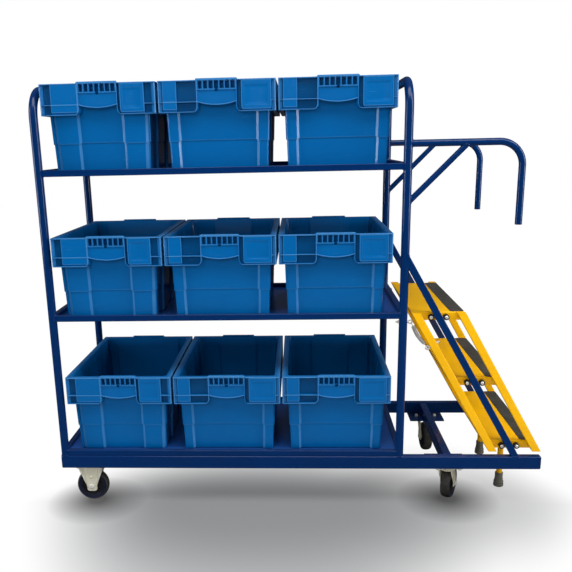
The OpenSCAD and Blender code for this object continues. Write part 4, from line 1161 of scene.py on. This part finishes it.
def winged_cheek(s):
    """A fixed bracket's cheek on the side s: rows run up from a rounded lower end, the half width grows
    to the wings at the plate, and a band down the middle is pushed out from the sheet, with a groove
    along each fold beside it, shallow enough to clear the tyre, and wings that lean out again."""
    bottom, q = AXLE_Z - CHEEK_END, np.linspace(0, np.pi / 2, 6)
    end = [(bottom + CUT - CUT * math.cos(a), CHEEK_END - CUT + CUT * math.sin(a)) for a in q]
    up = [(AXLE_Z + 4, CHEEK_END + 1), (AXLE_Z + 24, CHEEK_END + 8.8), (AXLE_Z + 44, CHEEK_END + 16.6),
          (PLATE_Z - CHEEK_END, CHEEK_TOP - 4), (PLATE_Z - 10, CHEEK_TOP - 1.8), (PLATE_Z + 1, CHEEK_TOP)]
    z, half = (np.array(end + up)[:, k:k + 1] for k in (0, 1))
    side = np.concatenate([[0.15, 0.3, 0.42], np.linspace(0.46, 0.64, 10), [0.7, 0.8, 0.9, 0.96, 1.0]])
    across = np.concatenate([-side[::-1], [0.0], side])[None]
    u = np.abs(across)
    fold = np.minimum(FOLD * half, CHEEK_END + FOLD_RUN * (z - AXLE_Z) / (PLATE_Z - AXLE_Z))
    wide = np.minimum(FOLD_W, 0.5 * (half - fold))
    flat_part = np.minimum(u, 0.5) / 0.5
    fold_part = np.clip(u - 0.5, 0, 0.1) / 0.1
    wing_part = np.maximum(u - 0.6, 0) / 0.4
    x = np.sign(across) * (flat_part * fold + fold_part * wide + wing_part * (half - fold - wide))
    open_fold = smooth_step((half - CHEEK_END) / 6)
    push = PUSHED * smooth_step((0.55 - u) / 0.06) - GROOVE * open_fold * np.exp(-((u - 0.55) / 0.045) ** 2)
    push = push + WING * open_fold * smooth_step((u - 0.58) / 0.14)
    lip = 0.7 * smooth_step((u - 0.97) / 0.03)
    z = np.broadcast_to(z, x.shape)
    outer = stacked(-s * x, s * (CHEEK_Y + CHEEK_T + push - lip), z)
    inner = stacked(-s * x, s * (CHEEK_Y + push + lip), z)
    keep = np.ones((len(z) - 1, x.shape[1]), bool)
    keep[:, -1] = False
    return walled(outer, inner, keep)


def fork_cheek(s):
    """A swivel fork's flat cheek on the side s, from an outline in X and Z."""
    outline = softened(fork_corners, FORK_CUT, True, 6)
    sheet = pressed_plate(outline if s < 0 else outline * (-1, 1), CHEEK_T, FORK_PANEL)
    return placed(sheet, (0, s * CHEEK_Y, 0), (0, s, 0), (-s, 0, 0))


def turned_about(shapes, x, y, angle):
    """Shapes turned round the vertical by an angle and moved to a castor's place."""
    return placed(join(*shapes), (x, y, 0), (0, 0, 1), (math.cos(angle), math.sin(angle), 0))


rivet = turned(np.array([(6.2 * math.cos(a), 4.2 * math.sin(a)) for a in np.linspace(0, 1.45, 8)]), 32)
rivet_y = CHEEK_Y + CHEEK_T + PUSHED - 0.2
fixed = [top_plate(), winged_cheek(-1), winged_cheek(1)]
fixed += [placed(rivet, (0, s * rivet_y, RIVET_Z), (0, s, 0)) for s in (-1, 1)]
crown = ring_turned(softened(crown_corners, 1.0, True))
race = ring_turned(softened(race_corners, 1.0, True))
fork = [crown] + [fork_cheek(s) for s in (-1, 1)]
brackets = join(*[turned_about(fixed, FIXED_X, s * CASTOR_Y, 0) for s in (-1, 1)])
plates = join(*[turned_about([top_plate(), race], SWIVEL_X, s * CASTOR_Y, 0) for s in (-1, 1)])
make_piece("pressed_fixed_brackets", brackets, castor_zinc, "frame", ["fixed_brackets"])
make_piece("pressed_swivel_plates", plates, castor_zinc, "frame", ["swivel_plates"])
for s, end in SWIVELS:
    shape = turned_about(fork, SWIVEL_X, s * CASTOR_Y, REST[s])
    make_piece("pressed_fork_" + end, shape, castor_zinc, "swivel_" + end, ["fork_" + end])
print("fork faces:", len(shape[1]) + len(shape[2]))

# %% Axles, castor bolts and nuts
AXLE_R, AXLE_HEAD, AXLE_TIP, HEAD_Y = 6.0, (19.0, 5.0), (0.9, 0.6), CHEEK_Y + CHEEK_T + 1.6
PLATE_BOLTS, BOLT_HEAD, BOLT_L, MOUNT_T, TUBE_T = (40.0, 33.0), (13.0, 5.3), 20.0, 6.0, 3.0
shaft = turned(np.array([(AXLE_R, 0), (AXLE_R, 2 * CHEEK_Y + 4)]), 24)
axle = [placed(shaft, (0, -CHEEK_Y - 2, AXLE_Z), (0, 1, 0))]
axle += [placed(hex_head(*AXLE_HEAD), (0, s * HEAD_Y, AXLE_Z), (0, s, 0)) for s in (-1, 1)]
axle += [placed(screw_end(AXLE_R, *AXLE_TIP), (0, s * (HEAD_Y + AXLE_HEAD[1]), AXLE_Z), (0, s, 0))
         for s in (-1, 1)]
fixed_axles = join(*[turned_about(axle, FIXED_X, s * CASTOR_Y, 0) for s in (-1, 1)])
make_piece("hex_fixed_axles", fixed_axles, bright_zinc, "frame", ["fixed_axles"])
trailing = [(p + (TRAIL, 0, 0), q, t) for p, q, t in axle]
for s, end in SWIVELS:
    shape = turned_about(trailing, SWIVEL_X, s * CASTOR_Y, REST[s])
    make_piece("hex_axle_" + end, shape, bright_zinc, "swivel_" + end, ["axle_" + end])
heads, nuts = [], []
for x, s, i, j in product((FIXED_X, SWIVEL_X), (-1, 1), (-1, 1), (-1, 1)):
    spot = np.array([x + i * PLATE_BOLTS[0], s * CASTOR_Y + j * PLATE_BOLTS[1], PLATE_Z])
    seat = RAIL_Z + (MOUNT_T if j * s < 0 else TUBE_T)
    heads.append(placed(hex_head(*BOLT_HEAD), spot, (0, 0, -1)))
    heads.append(placed(screw_end(BOLT_R, BOLT_L), spot))
    nuts.append(placed(hex_head(*BIG_NUT), (spot[0], spot[1], seat)))
make_piece("castor_hex_bolts", join(*heads), bright_zinc, "frame", ["castor_bolts"])
make_piece("castor_hex_nuts", join(*nuts), bright_zinc, "frame", ["castor_nuts"])
print("castor bolts:", len(nuts))

# %% [markdown]
# ## Tube ends
# The base rails are closed with caps whose edges are ground round, and the grab handles' open lower
# ends with domed plugs.

# %% Rail caps and handle plugs
low, high = box_mm("rail_end_plates")
REACH, RAIL_LOW, RAIL_HIGH, RAIL_HALF = high[0], low[2], high[2], high[1] - POST_Y
CAP_T, CAP_R, CAP_CORNER = 6.0, 4.5, 4.0
HANDLE_R, BRACE_R, BORE_R = 12.0, 10.0, 10.0
rows = [(0.3, 0.0), (0.0, 0.4)]
rows += [(CAP_R - CAP_R * math.cos(a), CAP_T - CAP_R + CAP_R * math.sin(a))
         for a in np.linspace(0, np.pi / 2, 6)]
inset, z = np.hsplit(np.array(rows), 2)
corner = np.maximum(CAP_CORNER - 0.3 * inset, 0.5)
ends = [np.linspace(-1, 1, 6)] * 4
x, y = rounded_loops(RAIL_HALF - inset, (RAIL_HIGH - RAIL_LOW) / 2 - inset, corner, ends)[:2]
cap = loft(stacked(x, y, z))
caps = [placed(cap, (s * (REACH - CAP_T), e * POST_Y, (RAIL_LOW + RAIL_HIGH) / 2), (s, 0, 0), (0, 1, 0))
        for s, e in product((-1, 1), (-1, 1))]
make_piece("rounded_rail_caps", join(*caps), navy, "frame", ["rail_end_plates"])
plug_corners = [(6, 0), (HANDLE_R - 1.4, 0.1), (HANDLE_R, 1.0), (HANDLE_R, 2), (BORE_R, 2.1), (BORE_R, 13),
                (BORE_R - 0.6, 14)]
plug = turned(softened(plug_corners, 0.8), 48)
plug_at = middle("handle_plugs", 0), box_mm("handle_plugs")[0][2]
plugs = [placed(plug, (plug_at[0], e * POST_Y, plug_at[1])) for e in (-1, 1)]
make_piece("domed_handle_plugs", join(*plugs), plug_navy, "frame", ["handle_plugs"])
print("caps:", len(caps), "plugs:", len(plugs))

# %% [markdown]
# ## Weld beads
# The tubes are welded, and a painted weld shows as a rippled bead round each joint. A bead is a thin
# tube swept along the curve where two pieces meet. Its radius ripples with the distance along it,
# as the pool of metal does when it is laid down in steps.


# %% Bead helper
BEAD, BEAD_STEP, RIPPLE, RIPPLE_PITCH = 2.0, 0.8, 0.14, 3.0


def bead(x, y, z, axis, closed=True, size=BEAD):
    """A rippled bead through points given as three columns, any of which may be one number: it has
    points about 0.8 mm apart along the path, and its radius waves every 3 mm."""
    path = np.column_stack(np.broadcast_arrays(x, y, z))
    line = np.vstack([path, path[:1]]) if closed else path
    run = np.concatenate([[0], np.cumsum(np.linalg.norm(np.diff(line, axis=0), axis=1))])
    count = max(int(run[-1] / BEAD_STEP), 12)
    s = np.linspace(0, run[-1], count, endpoint=not closed)
    even = np.column_stack([np.interp(s, run, line[:, k]) for k in range(3)])
    waves = max(round(run[-1] / RIPPLE_PITCH), 1)
    ripple = size * (1 + RIPPLE * np.sin(2 * np.pi * waves * s / run[-1]))
    return sweep(even, ripple, axis, 8, closed)


def round_post(y):
    """How far a post's surface stands from its axis at a sideways distance y."""
    return np.sqrt(np.maximum(POST_R ** 2 - y ** 2, 0))


# %% Frame welds
X_AXIS, Y_AXIS, Z_AXIS = np.eye(3)
BAR, BAR_R, GUIDE_R, CROSS, CROSS_R, CROSS_PITCH = 22.0, 2.0, 2.5, (15.0, 25.0), 4.0, 1465.0
RAIL_SIDE, BRACE_Z, BRACE_BEAD, CROSS_BEAD, SLANT = 15.0, 1139.0, 1.8, 2.3, (1, 0, 1)
HANDLE_Z, STEP_Z = box_mm("handle_front")[1][2] - HANDLE_R, box_mm("tread_top")[1][2]
t = full_turn(48)
beads = []
a, b = outline_of(BAR / 2, BAR / 2, BAR_R)
bars = ("shelf_bars_bottom", "shelf_bars_middle", "shelf_bars_top")
for node, (x, s), e in product(bars, ((XL, 1), (XR, -1)), (-1, 1)):
    z = box_mm(node)[1][2] - BAR / 2 + b
    beads.append(bead(x + s * round_post(a), e * POST_Y + a, z, X_AXIS))
    beads.append(bead(x + a, e * (POST_Y - round_post(a)), z, Y_AXIS))
for x, e in product((XL, XR), (-1, 1)):
    beads.append(bead(x + POST_R * np.cos(t), e * POST_Y + POST_R * np.sin(t), RAIL_TOP, Z_AXIS))
a, b = outline_of(GUIDE / 2, GUIDE / 2, GUIDE_R)
run, x = a / math.sin(SLOPE), XR + round_post(b)
for e in (-1, 1):
    beads.append(bead(guide_x(RAIL_TOP) + run, e * POST_Y + b, RAIL_TOP, Z_AXIS))
    z = STEP_Z + (guide_x(STEP_Z) + run - x) * math.tan(SLOPE)
    beads.append(bead(x, e * POST_Y + b, z, SQUARE_OUT))
wide, y, v = HANDLE_R * np.cos(t), BRACE_R * np.cos(t), BRACE_R * np.sin(t) * math.sqrt(2)
z = HANDLE_Z - np.sqrt(HANDLE_R ** 2 - y ** 2)
for e in (-1, 1):
    beads.append(bead(XR + round_post(wide), e * POST_Y + wide, HANDLE_Z + HANDLE_R * np.sin(t), X_AXIS))
    low_end = BRACE_Z + round_post(y) + v
    beads.append(bead(XR + round_post(y), e * POST_Y + y, low_end, SLANT, size=BRACE_BEAD))
    beads.append(bead(XR + z - BRACE_Z - v, e * POST_Y + y, z, SLANT, size=BRACE_BEAD))
a, b = outline_of(*CROSS, CROSS_R)
for x, e in product((XL, XL + CROSS_PITCH), (-1, 1)):
    z = RAIL_TOP - CROSS[1] + b
    beads.append(bead(x + a, e * (POST_Y - RAIL_SIDE), z, Y_AXIS, size=CROSS_BEAD))
make_piece("frame_weld_beads", join(*beads), navy, "frame")
print("frame beads:", len(beads))

# %% Step welds
LEG_R, SHORT = 11.0, 4.0
step_beads = []
for node, dx, e in product(TREADS, STRINGER_X, (-1, 1)):
    low, high = box_mm(node)
    x = guide_x(low[2]) + dx
    run = np.clip([x - HALF_RUN, x + HALF_RUN], low[0] + SHORT, high[0] - SHORT)
    step_beads.append(bead(np.linspace(*run, 20), e * END_Y, low[2], Z_AXIS, closed=False))
high = box_mm("step_legs")[1]
x = middle("step_legs", 0) + LEG_R * np.cos(t)
for e in (-1, 1):
    step_beads.append(bead(x, LEG_R * np.sin(t) + e * (high[1] - LEG_R), high[2], Z_AXIS))
make_piece("step_weld_beads", join(*step_beads), yellow, "step_unit")
print("step beads:", len(step_beads))

# %% [markdown]
# ## Camera, light and floor
# The camera stands where the photograph was taken from: close to the middle, at chest height, looking
# slightly down. Soft lamps in front, above and behind light the trolley evenly, and two strips at its
# sides draw bright lines along the tubes. The world looks white behind it but is dim in reflections,
# which keeps the paint deep, and the floor's soft shade fades out to the same white.

# %% Camera
PICTURE, SENSOR = 572.0, 36.0
YAW, TILT, ROLL = -0.06043, -0.25781, -0.02320
FOCAL_PX, CENTRE_PX = 722.65, (255.96, 333.81)
CAMERA_AT = (0.00948, -2.84329, 1.35324)


def stand(thing, place, right, up, ahead):
    """Adds a camera or a lamp at a place. Its right, its top and its back are its matrix's columns."""
    scene.collection.objects.link(thing)
    basis = np.eye(4)
    basis[:3] = np.column_stack([right, up, -ahead, place])
    thing.matrix_world = Matrix(basis.tolist())


ahead = np.array([math.sin(YAW) * math.cos(TILT), math.cos(YAW) * math.cos(TILT), math.sin(TILT)])
level = np.array([math.cos(YAW), -math.sin(YAW), 0.0])
over = np.cross(level, ahead)
lens = bpy.data.cameras.new("camera")
lens.sensor_width = SENSOR
lens.lens = FOCAL_PX / PICTURE * SENSOR
lens.shift_x = (PICTURE / 2 - CENTRE_PX[0]) / PICTURE
lens.shift_y = (CENTRE_PX[1] - PICTURE / 2) / PICTURE
camera = bpy.data.objects.new("camera", lens)
stand(camera, CAMERA_AT, math.cos(ROLL) * level + math.sin(ROLL) * over,
      -math.sin(ROLL) * level + math.cos(ROLL) * over, ahead)
scene.camera = camera
print("lens:", round(lens.lens, 2), "shift:", round(lens.shift_x, 4), round(lens.shift_y, 4))

# %% Floor
# Painted shadow on the floor: an oval under and in front of the trolley, a weaker one before the steps, and
# a dark spot under each front wheel.
SHADE_AT, SHADE_HALF, SHADE_FRONT, SHADE_BACK = (-0.13, -0.3), 1.0, 1.4, 0.68
STEP_SHADE_AT, STEP_SHADE_HALF, STEP_SHADE_FRONT, STEP_SHADE = (0.58, -0.3), 0.58, 0.62, 0.58
WHEEL_SHADES = ((-0.79, -0.275), (0.585, -0.25))
WHEEL_DARK, WHEEL_NEAR, WHEEL_FAR = 0.22, 0.03, 0.2
BLACK, WHITE, FLOOR_HALF = (0.0, 0.0, 0.0, 1.0), (1.0, 1.0, 1.0, 1.0), 14


def studio_surface(name, colour):
    """A matt floor that takes the lamps' shadows near the trolley and turns to plain white further out.
    To the camera it also carries painted shadow: near the middle its colour is a darker grey and its glow
    a dim grey, and with the distance from the middle both give way to a white glow. A second patch of
    painted shadow lies in front of the steps, and a small dark painted shadow under each front wheel."""
    finish, s, place, into = start_finish(name)
    along, depth = (s.node("SeparateXYZ", None, {0: place}, k) for k in (0, 1))

    def fade(at, half, front):
        """0 at a place, and a soft S up to 1 along an oval that reaches further to the front."""
        across, deep = (along - at[0]) / half, depth - at[1]
        deep = s.maths("MAXIMUM", deep / SHADE_BACK, deep / -front)
        across = across * across
        way = (s.maths("SQRT", across * across + deep * deep) + across * deep).ramp(0.1, 0.95)
        return way * way * (3.0 - 2.0 * way)

    # Painted shadow: far is 0 in the middle of each oval and 1 outside; the steps' oval is weaker.
    steps = 1.0 - STEP_SHADE * (1.0 - fade(STEP_SHADE_AT, STEP_SHADE_HALF, STEP_SHADE_FRONT))
    far = fade(SHADE_AT, SHADE_HALF, SHADE_FRONT) * steps
    # Painted contact shadow under each front wheel.
    clear = 1.0
    for x, y in WHEEL_SHADES:
        gap = s.node("VectorMath", {"operation": "DISTANCE"}, {0: place, 1: (x, y, 0.0)}, "Value")
        clear = (WHEEL_DARK + (1.0 - WHEEL_DARK) * gap.ramp(WHEEL_NEAR, WHEEL_FAR)) * clear
    seen = s.node("LightPath", out="Is Camera Ray")
    speck = s.noise(place, 60.0, 4.0)
    plain = s.mix(s.node("LightPath", out="Is Glossy Ray"), colour, rgb("3c3d3e"))
    # To the camera the floor near the trolley is a darker grey, part of the painted shadow.
    near = s.mix(seen, plain, s.mix(speck * 0.2, rgb("626364"), rgb("585a5c")))
    # The camera's glow is a dim grey inside the painted shadow and white outside it.
    glow = s.mix(far, rgb("6c6d6e"), WHITE)
    feed(into, Base_Color=s.mix(clear, BLACK, s.mix(far * seen, near, BLACK)), Roughness=0.7,
         Specular_IOR_Level=0.05, Emission_Color=s.mix(clear * seen, BLACK, glow), Emission_Strength=1.0)
    return finish


floor_mesh = bpy.data.meshes.new("studio_floor")
corners = [(x * FLOOR_HALF, y * FLOOR_HALF, 0) for x, y in ((-1, -1), (1, -1), (1, 1), (-1, 1))]
floor_mesh.from_pydata(corners, [], [(0, 1, 2, 3)])
floor_mesh.materials.append(studio_surface("studio_floor_matt", rgb("c9c9ca")))
floor = bpy.data.objects.new("studio_floor", floor_mesh)
scene.collection.objects.link(floor)
print("floor:", 2 * FLOOR_HALF, "m wide")

# %% World and lamps
AMBIENT, GLOSS = 0.28, 0.04
world = bpy.data.worlds.new("studio")
world.use_nodes = True
scene.world = world
sky = Sock(world.node_tree)
seen, mirrored = (sky.node("LightPath", out=ray) for ray in ("Is Camera Ray", "Is Glossy Ray"))
feed(world.node_tree.nodes["Background"].inputs, Color=WHITE,
     Strength=AMBIENT + (1.0 - AMBIENT) * seen - (AMBIENT - GLOSS) * mirrored)


def soft_lamp(name, place, target, size, watts, glints=True):
    """A rectangular area lamp, its width and height in metres, facing a point. One without glints
    gives its light but isn't seen in shiny surfaces."""
    data = bpy.data.lights.new(name, "AREA")
    data.shape = "RECTANGLE"
    data.energy, data.size, data.size_y = watts, size[0], size[1]
    lamp = bpy.data.objects.new(name, data)
    aim = np.asarray(target, float) - np.asarray(place, float)
    aim /= np.linalg.norm(aim)
    side = np.cross(aim, (0.0, 0.0, 1.0))
    side /= np.linalg.norm(side)
    stand(lamp, place, side, np.cross(side, aim), aim)
    lamp.visible_glossy = glints


soft_lamp("front_lamp", (-0.8, -4.2, 2.6), (0, 0, 0.8), (2.4, 1.4), 58, False)
soft_lamp("top_lamp", (0.4, -1.7, 4.3), (0.2, 0, 0.6), (3.6, 2.0), 108)
soft_lamp("left_strip", (-3.3, -1.0, 1.7), (0, -0.3, 1.2), (0.5, 2.2), 42)
soft_lamp("right_strip", (3.5, -1.1, 1.7), (0, -0.3, 1.2), (0.7, 2.2), 54)
soft_lamp("step_lamp", (2.4, -1.3, 3.1), (1.0, 0, 0.8), (1.4, 1.0), 26)
soft_lamp("back_lamp", (0.8, 3.8, 2.8), (0, 0, 0.8), (2.6, 1.4), 72, False)
scene.view_settings.view_transform = "Standard"
print("lamps:", len(bpy.data.lights))
